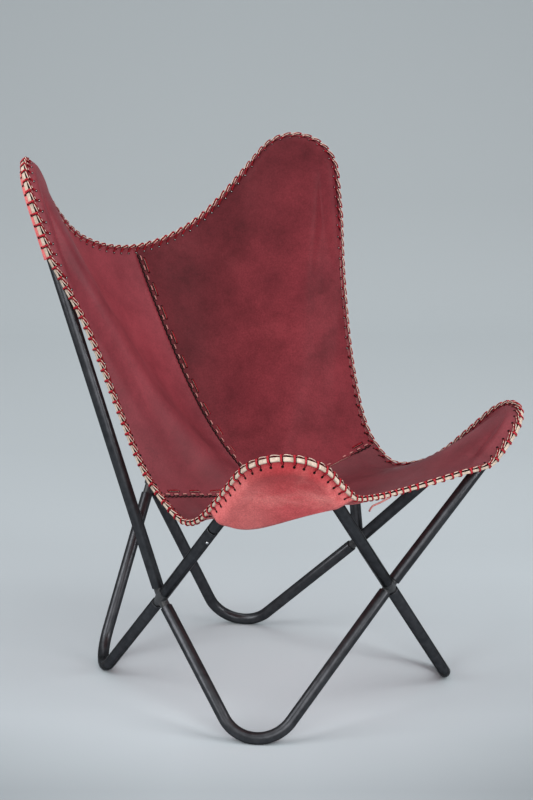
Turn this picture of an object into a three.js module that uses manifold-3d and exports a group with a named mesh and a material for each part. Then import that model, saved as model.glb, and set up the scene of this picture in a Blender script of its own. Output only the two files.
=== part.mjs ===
// Butterfly sling chair: a plug-together frame of bent steel tube that carries a laced leather sling.
// Millimetres, +Z up. The sitter faces -Y, so the sitter's right hand is at -X.
import * as THREE from 'three';
import { mergeVertices } from 'three/addons/utils/BufferGeometryUtils.js';
import Module from 'manifold-3d';

const wasm = await Module();
wasm.setup();

// Tube and joints
const TUBE_OUTER_DIAMETER = 20;
const TUBE_WALL = 1.5;
const TUBE_SIDES = 12;
const SLIP_CLEARANCE = 0.6;
const STUB_DEPTH = 34;
const MOUTH_CLEARANCE = 0.6;
const PLUG_LENGTH = 46;
const PLUG_TAPER = 5;
const PLUG_SHOULDER_GAP = 0.5;

// Crossings of the legs, at the side, front and rear fittings
const SIDE_CROSSING = { halfWidth: 237, height: 197 };
const FRONT_CROSSING = { reach: 288, height: 229 };
const REAR_CROSSING = { reach: 292, height: 295 };

// Foot bows: plan position where the leg lines meet, and the bend between them
const FRONT_FOOT = { halfWidth: 252, reach: 230 };
const REAR_FOOT = { halfWidth: 171, reach: 262 };
const FOOT_BEND_RADIUS = 64;
const FOOT_FLAT_DEPTH = 0.8;

// Top bows: plan position where the leg lines meet, height of the tube's top, and the bend
const FRONT_TIP = { halfWidth: 314, reach: 369, height: 492, bendRadius: 58 };
const REAR_TIP = { halfWidth: 378, reach: 253, height: 894, bendRadius: 60 };

// Straight run of each top bow, from its bend to the end of the upper leg that it plugs into
const BOW_RUN = { frontSide: 151, frontCross: 31, rearSide: 55, rearCross: 137 };
const BEND_STEPS = 8;
const CORE_SIDES = 8;
const CORE_RINGS = 5;
const FLOOR_BLOCK = { width: 400, depth: 100 };

// Spring buttons that lock the bows
const BUTTON_FROM_LEG_END = 24;
const BUTTON_DIAMETER = 5;
const BUTTON_PROUD = 2.2;
const BUTTON_HOLE_DIAMETER = 5.8;
const BUTTON_FLANGE_DIAMETER = 8;
const BUTTON_FLANGE_THICKNESS = 1;
const BUTTON_FLANGE_HEIGHT = 3.4;
const SPRING_WIDTH = 5;
const SPRING_THICKNESS = 0.6;
const SPRING_LENGTH = 22;
const SPRING_FOOT_HEIGHT = -5.2;
const SPRING_SEAT = 3;
const SPRING_SEAT_GAP = 0.3;
const BUTTON_DOME = 1.4;
const BUTTON_DOME_STEPS = 3;

// Leather
const PANEL_THICKNESS = 3.2;
const POCKET_THICKNESS = 2.6;
const LEATHER_GAP = 1.3;
const LAYER_GAP = 0.4;
const FRONT_CREST_STANDOFF = 19;
const FRONT_CREST_FLARE = 10;
const FRONT_SIDE_LIFT = 8;
const REAR_CREST_STANDOFF = 15;
const REAR_CREST_LIFT = 1.5;
const EDGE_BAND = 15;

// Distance along each bow, from its crown to the pocket's lower corners
const POCKET_REACH = { frontSide: 182, frontCross: 126, rearSide: 166, rearCross: 62 };
const POCKET_EDGE_SWEEP = { front: 200, rear: 160 };

// Sling setting-out: seam junction, then the free edges measured from the tips and from the side crossings
const SEAM_HUB = { y: -20, z: 336 };
const BACK_TOP_MIDDLE = { behind: 74.5, drop: 178 };
const BACK_TOP_QUARTER = { widthShare: 0.3664, behind: 62, drop: 142 };
const FRONT_EDGE_MIDDLE = { behind: 44.5, drop: 95 };
const FRONT_EDGE_QUARTER = { widthShare: 0.328, behind: 28, drop: 86 };
const SEAM_EDGE_END = { beside: 17, rise: 177 };

// Side edges: share of the way up the leg line that they follow, and how far inside and behind it they pass
const BACK_EDGE_HIGH = { share: 0.4925, inside: 7.4, behind: -22.6 };
const BACK_EDGE_MIDDLE = { share: 0.3494, inside: 12.3, behind: -30.4 };
const BACK_EDGE_LOW = { share: 0.2385, inside: 11.1, behind: -47.3 };
const SEAT_EDGE_REAR = { share: 0.4177, inside: 15.2, behind: 87.1 };
const SEAT_EDGE_FRONT = { share: 0.4485, inside: 1.5, behind: 43.5 };
const SAG_POWER = { side: 1.35, back: 1.78, front: 2.0 };

// Grid of the sling: steps along each stretch of rim, and rows from the edge to the seam junction
const RIM_STEPS = { top: 6, rearCrest: 12, sideUpper: 7, sideLower: 5, frontCrest: 11, front: 4 };
const FREE_EDGE_INSETS = [0, 9, 16, 24, 34];
const HAMMOCK_ROWS = [0.8, 0.6, 0.4, 0.2];
const HUB_SHARE = 0.03;
const SMOOTHING_PASSES = 5;
const SEAM_HOLD = 3.7;
const POCKET_ROWS = 3;

// Lacing
const EDGE_LACE_DIAMETER = 6;
const EDGE_LACE_SIDES = 6;
const EDGE_LACE_GAP = 0.6;
const EDGE_LACE_END_GAP = 1;
const SEAM_LACE_WIDTH = 8;
const SEAM_LACE_THICKNESS = 1.6;
const SEAM_LACE_GAP = { back: 0.3, seat: 0.9 };
const SEAM_GAP = 0.8;
const TAIL_DIAMETER = 3;
const TAIL_SIDES = 8;
const TAIL_STEPS = 10;
const TAIL_GAP = 0.5;
const TAIL_RUN = 56;
const TAIL_FORWARD = 8;
const TAIL_DROOP = 3;
const TAIL_HOOK = 7;
const TAIL_HOOK_SHARE = 0.2;

const tubeRadius = TUBE_OUTER_DIAMETER / 2;
const tubeBore = tubeRadius - TUBE_WALL;
const facetFactor = Math.cos(Math.PI / TUBE_SIDES);
const slipRadius = tubeBore * facetFactor - SLIP_CLEARANCE / 2;
const plugBore = slipRadius - TUBE_WALL;
const up = new THREE.Vector3(0, 0, 1);

const vector = (x, y, z) => new THREE.Vector3(x, y, z);
const along = (point, direction, distance) => point.clone().addScaledVector(direction, distance);
const towards = (from, to) => to.clone().sub(from).normalize();
const mirrored = (point) => vector(-point.x, point.y, point.z);

// Geometry helpers

function meshGeometry(points, triangles) {
  const geometry = new THREE.BufferGeometry();
  const numbers = points.flatMap((p) => [p.x, p.y, p.z]);
  geometry.setAttribute('position', new THREE.Float32BufferAttribute(numbers, 3));
  geometry.setIndex(triangles.flat());
  return geometry;
}

function solidOf(geometry) {
  const bare = geometry.clone();
  bare.deleteAttribute('normal');
  bare.deleteAttribute('uv');
  const welded = mergeVertices(bare, 1e-4);
  return new wasm.Manifold(new wasm.Mesh({
    numProp: 3,
    vertProperties: new Float32Array(welded.attributes.position.array),
    triVerts: new Uint32Array(welded.index.array),
  }));
}

function geometryOf(solid) {
  const mesh = solid.getMesh();
  const geometry = new THREE.BufferGeometry();
  geometry.setAttribute('position', new THREE.Float32BufferAttribute(mesh.vertProperties, 3));
  geometry.setIndex(Array.from(mesh.triVerts));
  return geometry;
}

function solidVolume(geometry) {
  return solidOf(geometry).volume();
}

function reversed(geometry) {
  const copy = geometry.clone();
  copy.setIndex(Array.from(geometry.index.array).reverse());
  return copy;
}

// Direction that a bead's sections are set out from, clear of the bead's own direction
function beadGuide(tangent) {
  return Math.abs(tangent.y) < 0.9 ? vector(0, 1, 0) : vector(1, 0, 0);
}

function mirroredGeometry(geometry) {
  const copy = geometry.index ? geometry.toNonIndexed() : geometry.clone();
  const position = copy.attributes.position;
  for (let face = 0; face < position.count; face += 3) {
    const corners = [0, 1, 2].map((k) => new THREE.Vector3().fromBufferAttribute(position, face + k));
    corners.reverse().forEach((p, k) => position.setXYZ(face + k, -p.x, p.y, p.z));
  }
  copy.deleteAttribute('normal');
  return mergeVertices(copy, 1e-4);
}

// A loft of round sections along stations; a bore of zero leaves a rod
function roundLoft(stations, sideNormal) {
  const points = [];
  const triangles = [];
  const ring = (station, radius) => {
    const first = points.length;
    const across = new THREE.Vector3().crossVectors(station.tangent, sideNormal).normalize();
    for (let i = 0; i < TUBE_SIDES; i += 1) {
      const angle = (2 * Math.PI * i) / TUBE_SIDES;
      const spoke = sideNormal.clone().multiplyScalar(Math.cos(angle));
      spoke.addScaledVector(across, Math.sin(angle));
      points.push(along(station.point, spoke, radius));
    }
    return first;
  };
  const skin = (a, b) => {
    for (let i = 0; i < TUBE_SIDES; i += 1) {
      const j = (i + 1) % TUBE_SIDES;
      triangles.push([a + i, b + j, a + j], [a + i, b + i, b + j]);
    }
  };
  const outer = stations.map((station) => ring(station, station.radius));
  for (let k = 0; k + 1 < outer.length; k += 1) skin(outer[k], outer[k + 1]);
  const last = outer.length - 1;
  if (stations[0].bore > 0) {
    const inner = stations.map((station) => ring(station, station.bore));
    for (let k = 0; k < last; k += 1) skin(inner[k + 1], inner[k]);
    skin(inner[0], outer[0]);
    skin(outer[last], inner[last]);
  } else {
    const caps = [stations[0], stations[last]].map((station) => points.push(station.point.clone()) - 1);
    for (let i = 0; i < TUBE_SIDES; i += 1) {
      const j = (i + 1) % TUBE_SIDES;
      triangles.push([caps[0], outer[0] + i, outer[0] + j], [caps[1], outer[last] + j, outer[last] + i]);
    }
  }
  return meshGeometry(points, triangles.map(([a, b, c]) => [a, c, b]));
}

function straightTube(start, end, sideNormal, radius, bore) {
  const tangent = towards(start, end);
  return roundLoft([start, end].map((point) => ({ point, tangent, radius, bore })), sideNormal);
}

function rod(start, end, radius) {
  const tangent = towards(start, end);
  const helper = Math.abs(tangent.z) < 0.9 ? up : vector(1, 0, 0);
  const sideNormal = new THREE.Vector3().crossVectors(tangent, helper).normalize();
  return roundLoft([start, end].map((point) => ({ point, tangent, radius, bore: 0 })), sideNormal);
}

// A closed sheet of the given thickness over a grid of points, rows by columns
function sheet(rows, thickness) {
  const height = rows.length;
  const width = rows[0].length;
  const at = (j, i) => rows[Math.min(Math.max(j, 0), height - 1)][Math.min(Math.max(i, 0), width - 1)];
  const points = [];
  for (const side of [1, -1]) {
    for (let j = 0; j < height; j += 1) {
      for (let i = 0; i < width; i += 1) {
        const acrossRow = at(j, i + 1).clone().sub(at(j, i - 1));
        const downColumn = at(j + 1, i).clone().sub(at(j - 1, i));
        const normal = acrossRow.cross(downColumn).normalize();
        points.push(along(rows[j][i], normal, (side * thickness) / 2));
      }
    }
  }
  const index = (side, j, i) => side * height * width + j * width + i;
  const triangles = [];
  for (let j = 0; j + 1 < height; j += 1) {
    for (let i = 0; i + 1 < width; i += 1) {
      const [a, b, c, d] = [[j, i], [j, i + 1], [j + 1, i + 1], [j + 1, i]];
      const top = [a, b, c, d].map((place) => index(0, ...place));
      const under = [a, b, c, d].map((place) => index(1, ...place));
      triangles.push([top[0], top[1], top[2]], [top[0], top[2], top[3]]);
      triangles.push([under[0], under[2], under[1]], [under[0], under[3], under[2]]);
    }
  }
  const rim = [];
  for (let i = 0; i + 1 < width; i += 1) rim.push([0, i]);
  for (let j = 0; j + 1 < height; j += 1) rim.push([j, width - 1]);
  for (let i = width - 1; i > 0; i -= 1) rim.push([height - 1, i]);
  for (let j = height - 1; j > 0; j -= 1) rim.push([j, 0]);
  rim.forEach((a, k) => {
    const b = rim[(k + 1) % rim.length];
    triangles.push([index(0, ...a), index(1, ...a), index(1, ...b)]);
    triangles.push([index(0, ...a), index(1, ...b), index(0, ...b)]);
  });
  return meshGeometry(points, triangles);
}

// Frame setting-out

function bentPath(start, apex, end, radius) {
  const first = towards(apex, start);
  const second = towards(apex, end);
  const half = first.angleTo(second) / 2;
  const bisector = first.clone().add(second).normalize();
  const centre = along(apex, bisector, radius / Math.sin(half));
  const tangentLength = radius / Math.tan(half);
  const arcStart = along(apex, first, tangentLength);
  const spokeStart = towards(centre, arcStart);
  const normal = new THREE.Vector3().crossVectors(first, second).normalize();
  const sweep = Math.PI - 2 * half;
  const arcEnd = along(apex, second, tangentLength);
  return {
    start, end, apex, first, second, centre, radius, normal, spokeStart, sweep,
    tangentLength, arcStart, arcEnd,
  };
}

function arcPoint(path, share) {
  const spoke = path.spokeStart.clone().applyAxisAngle(path.normal, -path.sweep * share);
  return { point: along(path.centre, spoke, path.radius), spoke };
}

const SEARCH = { reach: 800, passes: 60, samples: 64 };

// Raises or lowers the apex until the bent tube's extreme height is as asked
function apexForHeight(start, plan, end, radius, extreme, wanted) {
  let low = wanted - SEARCH.reach;
  let high = wanted + SEARCH.reach;
  for (let pass = 0; pass < SEARCH.passes; pass += 1) {
    const middle = (low + high) / 2;
    const path = bentPath(start, vector(plan.x, plan.y, middle), end, radius);
    const heights = [];
    for (let k = 0; k <= SEARCH.samples; k += 1) heights.push(arcPoint(path, k / SEARCH.samples).point.z);
    if (extreme(...heights) > wanted) high = middle;
    else low = middle;
  }
  return vector(plan.x, plan.y, (low + high) / 2);
}

const crossings = {
  right: vector(-SIDE_CROSSING.halfWidth, 0, SIDE_CROSSING.height),
  left: vector(SIDE_CROSSING.halfWidth, 0, SIDE_CROSSING.height),
  front: vector(0, -FRONT_CROSSING.reach, FRONT_CROSSING.height),
  rear: vector(0, REAR_CROSSING.reach, REAR_CROSSING.height),
};

const floorCentre = tubeRadius - FOOT_FLAT_DEPTH;
const frontFootPlan = vector(-FRONT_FOOT.halfWidth, -FRONT_FOOT.reach, 0);
const rearFootPlan = vector(-REAR_FOOT.halfWidth, REAR_FOOT.reach, 0);
const frontTipPlan = vector(-FRONT_TIP.halfWidth, -FRONT_TIP.reach, 0);
const rearTipPlan = vector(-REAR_TIP.halfWidth, REAR_TIP.reach, 0);
const footApex = (plan, end) =>
  apexForHeight(crossings.right, plan, crossings[end], FOOT_BEND_RADIUS, Math.min, floorCentre);
const tipApex = (plan, end, tip) =>
  apexForHeight(crossings.right, plan, crossings[end], tip.bendRadius, Math.max, tip.height - tubeRadius);

const fromSide = (apex, end, radius) => bentPath(crossings.right, apex, crossings[end], radius);

// Paths on the sitter's right; the left ones are their mirror images
const paths = {
  frontFoot: fromSide(footApex(frontFootPlan, 'front'), 'front', FOOT_BEND_RADIUS),
  rearFoot: fromSide(footApex(rearFootPlan, 'rear'), 'rear', FOOT_BEND_RADIUS),
  frontTip: fromSide(tipApex(frontTipPlan, 'front', FRONT_TIP), 'front', FRONT_TIP.bendRadius),
  rearTip: fromSide(tipApex(rearTipPlan, 'rear', REAR_TIP), 'rear', REAR_TIP.bendRadius),
};

// Inward normals of the bow planes, towards the sitter
for (const path of Object.values(paths)) {
  const inward = vector(0, 0, SIDE_CROSSING.height).sub(path.centre);
  path.inward = path.normal.clone().multiplyScalar(Math.sign(path.normal.dot(inward)));
}

// Mouth distance at which tubes of one fitting just clear each other
function mouthDistance(directions) {
  let least = Math.PI;
  directions.forEach((a, i) => directions.slice(i + 1).forEach((b) => {
    least = Math.min(least, a.angleTo(b));
  }));
  return (tubeRadius + MOUTH_CLEARANCE / 2) / Math.tan(least / 2) + MOUTH_CLEARANCE;
}

const apexOf = (name) => paths[name].apex;
const bothSides = (apex) => [apex, mirrored(apex)];
const armsTo = (key, apexes) => apexes.map((apex) => towards(crossings[key], apex));
const fittingArms = {
  right: armsTo('right', [apexOf('frontTip'), apexOf('rearTip'), apexOf('frontFoot'), apexOf('rearFoot')]),
  front: armsTo('front', [...bothSides(apexOf('frontTip')), ...bothSides(apexOf('frontFoot'))]),
  rear: armsTo('rear', [...bothSides(apexOf('rearTip')).reverse(), ...bothSides(apexOf('rearFoot'))]),
};
const mouth = {
  right: mouthDistance(fittingArms.right),
  front: mouthDistance(fittingArms.front),
  rear: mouthDistance(fittingArms.rear),
};

// Sub-parts of the frame

function footBow(path, endKey) {
  const stations = [];
  const add = (point, tangent) => stations.push({ point, tangent, radius: tubeRadius, bore: tubeBore });
  add(along(path.start, path.first, -mouth.right), path.first.clone().negate());
  for (let k = 0; k <= BEND_STEPS; k += 1) {
    const { point, spoke } = arcPoint(path, k / BEND_STEPS);
    add(point, spoke.clone().cross(path.normal));
  }
  add(along(path.end, path.second, -mouth[endKey]), path.second.clone());
  const bow = solidOf(roundLoft(stations, path.normal));
  const floorBlock = new THREE.BoxGeometry(FLOOR_BLOCK.width, FLOOR_BLOCK.width, FLOOR_BLOCK.depth);
  floorBlock.translate(path.apex.x, path.apex.y, -FLOOR_BLOCK.depth / 2);
  return geometryOf(bow.subtract(solidOf(floorBlock)));
}

function buttonHole(point, direction) {
  return solidOf(rod(point, along(point, direction, TUBE_OUTER_DIAMETER), BUTTON_HOLE_DIAMETER / 2));
}

// Distance from a crossing to the end of its upper leg
function legLength(path, origin, legKey) {
  return origin.distanceTo(path.apex) - path.tangentLength - BOW_RUN[legKey];
}

function upperLeg(crossingKey, path, legKey, hasButton) {
  const origin = crossings[crossingKey];
  const direction = towards(origin, path.apex);
  const start = along(origin, direction, mouth[crossingKey]);
  const end = along(origin, direction, legLength(path, origin, legKey));
  const tube = straightTube(start, end, path.inward, tubeRadius, tubeBore);
  if (!hasButton) return tube;
  const hole = buttonHole(along(end, direction, -BUTTON_FROM_LEG_END), path.inward.clone().negate());
  return geometryOf(solidOf(tube).subtract(hole));
}

function topBow(path, startKey, endKey) {
  const stations = [];
  const add = (point, tangent, radius, bore) => stations.push({ point, tangent, radius, bore });
  const plugEnd = (origin, legKey, tangentSign) => {
    const direction = towards(origin, path.apex);
    const mouthAt = legLength(path, origin, legKey);
    const shoulder = mouthAt + PLUG_SHOULDER_GAP;
    const steps = [
      [mouthAt - PLUG_LENGTH, slipRadius, plugBore],
      [shoulder, slipRadius, plugBore],
      [shoulder + PLUG_TAPER, tubeRadius, tubeBore],
    ];
    const tangent = direction.multiplyScalar(tangentSign);
    const made = steps.map(([distance, radius, bore]) =>
      ({ point: along(origin, tangent, distance * tangentSign), tangent, radius, bore }));
    return tangentSign > 0 ? made : made.reverse();
  };
  stations.push(...plugEnd(path.start, startKey, 1));
  for (let k = 0; k <= BEND_STEPS; k += 1) {
    const { point, spoke } = arcPoint(path, k / BEND_STEPS);
    add(point, spoke.clone().cross(path.normal), tubeRadius, tubeBore);
  }
  stations.push(...plugEnd(path.end, endKey, -1));
  return roundLoft(stations, path.inward);
}

// Cross fitting: a full-width arm flush with one upper leg, and stubs that enter all four tubes
function crossFitting(key) {
  const origin = crossings[key];
  const core = new THREE.SphereGeometry(tubeRadius, CORE_SIDES, CORE_RINGS);
  core.translate(origin.x, origin.y, origin.z);
  let body = solidOf(core);
  fittingArms[key].forEach((direction, k) => {
    body = body.add(solidOf(rod(origin, along(origin, direction, mouth[key] + STUB_DEPTH), slipRadius)));
    if (k > 0) return;
    const flushEnd = along(origin, direction, mouth[key] - MOUTH_CLEARANCE);
    body = body.add(solidOf(rod(origin, flushEnd, tubeRadius)));
  });
  return geometryOf(body);
}

// Button and spring at a place inside the plug, facing outward
function buttonPlace(path, crossingKey, legKey) {
  const origin = crossings[crossingKey];
  const direction = towards(origin, path.apex);
  const point = along(origin, direction, legLength(path, origin, legKey) - BUTTON_FROM_LEG_END);
  return { point, direction, outward: path.inward.clone().negate() };
}

function placed(geometry, place) {
  const side = new THREE.Vector3().crossVectors(place.outward, place.direction);
  const basis = new THREE.Matrix4().makeBasis(place.direction, side, place.outward);
  return geometry.applyMatrix4(basis.setPosition(place.point));
}

function snapButton(place) {
  const stem = BUTTON_DIAMETER / 2;
  const flange = BUTTON_FLANGE_DIAMETER / 2;
  const flangeTop = BUTTON_FLANGE_HEIGHT + BUTTON_FLANGE_THICKNESS;
  const tip = tubeRadius + BUTTON_PROUD;
  const profile = [
    [0, BUTTON_FLANGE_HEIGHT], [flange, BUTTON_FLANGE_HEIGHT], [flange, flangeTop], [stem, flangeTop],
  ];
  for (let k = 0; k < BUTTON_DOME_STEPS; k += 1) {
    const angle = (Math.PI / 2) * (k / BUTTON_DOME_STEPS);
    profile.push([stem * Math.cos(angle), tip - BUTTON_DOME * (1 - Math.sin(angle))]);
  }
  profile.push([0, tip]);
  const lathe = new THREE.LatheGeometry(profile.map(([x, y]) => new THREE.Vector2(x, y)), TUBE_SIDES);
  lathe.rotateX(Math.PI / 2);
  return placed(geometryOf(solidOf(lathe)), place);
}

function buttonSpring(place) {
  const top = BUTTON_FLANGE_HEIGHT - SPRING_SEAT_GAP;
  const half = SPRING_THICKNESS / 2;
  const knee = (top + SPRING_FOOT_HEIGHT) / 2;
  const outline = new THREE.Shape();
  outline.moveTo(-SPRING_SEAT, top);
  outline.lineTo(SPRING_SEAT, top);
  outline.lineTo(SPRING_LENGTH, knee + half);
  outline.lineTo(SPRING_LENGTH, knee - half);
  outline.lineTo(SPRING_SEAT, SPRING_FOOT_HEIGHT - half);
  outline.lineTo(SPRING_SEAT, SPRING_FOOT_HEIGHT + half);
  outline.lineTo(SPRING_LENGTH - SPRING_SEAT, knee);
  outline.lineTo(SPRING_SEAT, top - SPRING_THICKNESS);
  outline.lineTo(-SPRING_SEAT, top - SPRING_THICKNESS);
  const strip = new THREE.ExtrudeGeometry(outline, { depth: SPRING_WIDTH, bevelEnabled: false, steps: 1 });
  strip.translate(0, 0, -SPRING_WIDTH / 2);
  strip.rotateX(Math.PI / 2);
  return placed(geometryOf(solidOf(strip)), place);
}

// Sling setting-out: for every place on the rim, the points of the leather from its edge inwards

const hub = vector(0, SEAM_HUB.y, SEAM_HUB.z);
const panelClear = tubeRadius + PANEL_THICKNESS / 2 + LEATHER_GAP;
const pocketClear = tubeRadius + POCKET_THICKNESS / 2 + LEATHER_GAP;
const panelLayer = (PANEL_THICKNESS + LAYER_GAP) / 2;
const pocketLayer = (POCKET_THICKNESS + LAYER_GAP) / 2;

// Axis points along a top bow between the pocket's two lower corners, each with its outward spoke;
// the rim stands off the tube, and its lift toward the seat fades from the side end to the cross end
function crestSamples(path, sideReach, crossReach, rim, steps) {
  const halfArc = (path.radius * path.sweep) / 2;
  const samples = [];
  for (let k = 0; k <= steps; k += 1) {
    const travel = -sideReach + ((sideReach + crossReach) * k) / steps;
    const share = (travel + halfArc) / (2 * halfArc);
    const turn = arcPoint(path, Math.min(Math.max(share, 0), 1));
    const point = turn.point.clone();
    if (share < 0) point.addScaledVector(path.first, -halfArc - travel);
    if (share > 1) point.addScaledVector(path.second, travel - halfArc);
    const beyond = Math.max(travel - halfArc, 0) / Math.max(crossReach - halfArc, 1);
    const lift = rim.crossLift + (rim.sideLift - rim.crossLift) * (1 - k / steps) ** 2;
    const standoff = rim.standoff + rim.flare * beyond;
    samples.push({ point, spoke: turn.spoke, inward: path.inward, standoff, lift });
  }
  return samples;
}

// Where a sheet that starts at the crest first touches the round of the tube
function tangentTurn(standoff, layer, clear) {
  return Math.atan2(layer, standoff) + Math.acos(clear / Math.hypot(standoff, layer));
}

function crestColumn(sample, layer, clear, side) {
  const { standoff } = sample;
  const rise = layer + sample.lift * side;
  const turn = tangentTurn(standoff, rise, clear);
  const middle = (turn + Math.PI / 2) / 2;
  const at = (outward, lift) => {
    const beside = along(sample.point, sample.spoke, outward);
    return along(beside, sample.inward, lift * side);
  };
  return [
    at(standoff, rise),
    at(clear * Math.cos(turn), clear * Math.sin(turn)),
    at(clear * Math.cos(middle), clear * Math.sin(middle)),
    at(0, clear),
    at(-EDGE_BAND, clear),
  ];
}

function sagPower(point) {
  const sine = (point.y - hub.y) / Math.hypot(point.x - hub.x, point.y - hub.y);
  const end = sine > 0 ? SAG_POWER.back : SAG_POWER.front;
  return SAG_POWER.side + (end - SAG_POWER.side) * sine * sine;
}

function hammockPoint(outer, share) {
  const point = hub.clone().lerp(outer, share);
  point.z = hub.z + (outer.z - hub.z) * share ** sagPower(outer);
  return point;
}

function freeColumn(edge) {
  const reach = edge.distanceTo(hub);
  return FREE_EDGE_INSETS.map((inset) => hammockPoint(edge, 1 - inset / reach));
}

const rearRim = {
  standoff: REAR_CREST_STANDOFF, flare: 0, sideLift: REAR_CREST_LIFT, crossLift: REAR_CREST_LIFT,
};
const frontRim = {
  standoff: FRONT_CREST_STANDOFF, flare: FRONT_CREST_FLARE, sideLift: FRONT_SIDE_LIFT, crossLift: 0,
};
const rearCrest = crestSamples(paths.rearTip, POCKET_REACH.rearSide, POCKET_REACH.rearCross,
  rearRim, RIM_STEPS.rearCrest).reverse();
const frontCrest = crestSamples(paths.frontTip, POCKET_REACH.frontSide, POCKET_REACH.frontCross,
  frontRim, RIM_STEPS.frontCrest);
const rearColumns = rearCrest.map((s) => crestColumn(s, panelLayer, panelClear, 1));
const frontColumns = frontCrest.map((s) => crestColumn(s, panelLayer, panelClear, 1));

// A free edge runs smoothly on from the crest at its ends
function freeEdge(before, points, after, steps) {
  const curve = new THREE.CatmullRomCurve3([...before, ...points, ...after], false, 'centripetal');
  const spans = before.length + points.length + after.length - 1;
  const first = (before.length - 1) / spans;
  const last = (before.length + points.length) / spans;
  const edge = [];
  for (let k = 0; k <= steps; k += 1) edge.push(curve.getPoint(first + ((last - first) * k) / steps));
  return edge;
}

const edgeOf = (columns) => columns.map((column) => column[0]);
const rearEdge = edgeOf(rearColumns);
const frontEdge = edgeOf(frontColumns);
const byTip = (tip, forward, place) => vector(
  -tip.halfWidth * (place.widthShare ?? 0),
  forward * tip.reach + place.behind,
  tip.height - place.drop,
);
const topMiddle = byTip(REAR_TIP, 1, BACK_TOP_MIDDLE);
const topQuarter = byTip(REAR_TIP, 1, BACK_TOP_QUARTER);
const frontMiddle = byTip(FRONT_TIP, -1, FRONT_EDGE_MIDDLE);
const frontQuarter = byTip(FRONT_TIP, -1, FRONT_EDGE_QUARTER);
const seamEndX = crossings.right.x - SEAM_EDGE_END.beside;
const seamEnd = vector(seamEndX, hub.y, crossings.right.z + SEAM_EDGE_END.rise);
const byLeg = (path, place) =>
  path.start.clone().lerp(path.apex, place.share).add(vector(place.inside, place.behind, 0));
const backEdge = [BACK_EDGE_HIGH, BACK_EDGE_MIDDLE, BACK_EDGE_LOW];
const upperSide = backEdge.map((place) => byLeg(paths.rearTip, place));
const lowerSide = [SEAT_EDGE_REAR, SEAT_EDGE_FRONT].map((place) => byLeg(paths.frontTip, place));

const topStart = [mirrored(topQuarter), topMiddle];
const frontEnd = [frontMiddle, mirrored(frontQuarter)];
const topRun = freeEdge(topStart, [topQuarter], rearEdge.slice(0, 2), RIM_STEPS.top);
const sideUpperRun = freeEdge(rearEdge.slice(-2), upperSide, [seamEnd, lowerSide[0]], RIM_STEPS.sideUpper);
const seamStart = [upperSide.at(-1), seamEnd];
const sideLowerRun = freeEdge(seamStart, lowerSide, frontEdge.slice(0, 2), RIM_STEPS.sideLower);
const frontRun = freeEdge(frontEdge.slice(-2), [frontQuarter], frontEnd, RIM_STEPS.front);

const backRim = [
  ...topRun.slice(0, -1).map(freeColumn),
  ...rearColumns,
  ...sideUpperRun.slice(1).map(freeColumn),
];
const seatHalfRim = [
  ...sideLowerRun.slice(0, -1).map(freeColumn),
  ...frontColumns,
  ...frontRun.slice(1).map(freeColumn),
];

function fullColumn(band) {
  const inner = band.at(-1);
  const rows = HAMMOCK_ROWS.map((share) => hammockPoint(inner, share));
  return [...band, ...rows, hammockPoint(inner, HUB_SHARE)];
}

const mirroredColumns = (columns) => columns.map((column) => column.map(mirrored)).reverse();

// Evens out each row round the hub, so that the leather hangs without creases between the pockets
function smoothedRing(columns, bandRows) {
  let ring = columns;
  const count = ring.length;
  const passesAt = (depth) => SMOOTHING_PASSES * depth ** 2;
  for (let pass = 0; pass < passesAt(HAMMOCK_ROWS.length + 1); pass += 1) {
    ring = ring.map((column, i) => column.map((point, j) => {
      const depth = j - bandRows + 1;
      if (depth <= 0 || pass >= passesAt(depth)) return point.clone();
      const neighbours = ring[(i + 1) % count][j].clone().add(ring[(i + count - 1) % count][j]);
      return neighbours.multiplyScalar(0.25).addScaledVector(point, 0.5);
    }));
  }
  return ring;
}

// Puts the seams back on their lines after the evening; the leather near them follows
function heldSeams(ring, lines, seams) {
  const count = ring.length;
  seams.forEach((seam) => {
    const shift = lines[seam].map((point, j) => point.clone().sub(ring[seam][j]));
    ring.forEach((column, i) => {
      const away = Math.min((i - seam + count) % count, (seam - i + count) % count);
      const follow = Math.exp(-((away / SEAM_HOLD) ** 2) / 2);
      column.forEach((point, j) => point.addScaledVector(shift[j], follow));
    });
  });
  return ring;
}

const halfColumns = [...backRim, ...seatHalfRim.slice(1)].map(fullColumn);
const otherHalf = mirroredColumns(halfColumns.slice(1, -1));
const hangingRing = [...halfColumns, ...otherHalf];
const seamIndex = backRim.length - 1;
const evenRing = smoothedRing(hangingRing, backRim[0].length);
const wholeRing = heldSeams(evenRing, hangingRing, [0, seamIndex, hangingRing.length - seamIndex]);
const frontIndex = halfColumns.length - 1;
const backColumns = wholeRing.slice(0, seamIndex + 1);
const seatHalfColumns = wholeRing.slice(seamIndex, frontIndex + 1);
const seatColumns = [...seatHalfColumns, ...mirroredColumns(seatHalfColumns.slice(0, -1))];
const innerRing = wholeRing.map((column) => column.at(-1));
const innerSum = innerRing.reduce((sum, point) => sum.add(point), vector(0, 0, 0));
const seamMeet = innerSum.divideScalar(innerRing.length);
const rowsOf = (columns) => columns[0].map((_, j) => columns.map((column) => column[j]));

// Sub-parts of the sling

function backPanelRight() {
  const panel = sheet(rowsOf(backColumns).reverse(), PANEL_THICKNESS);
  return panel.translate(-SEAM_GAP / 2, SEAM_GAP / 2, 0);
}

function seatPanel() {
  return sheet(rowsOf(seatColumns).reverse(), PANEL_THICKNESS).translate(0, -SEAM_GAP / 2, 0);
}

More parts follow.
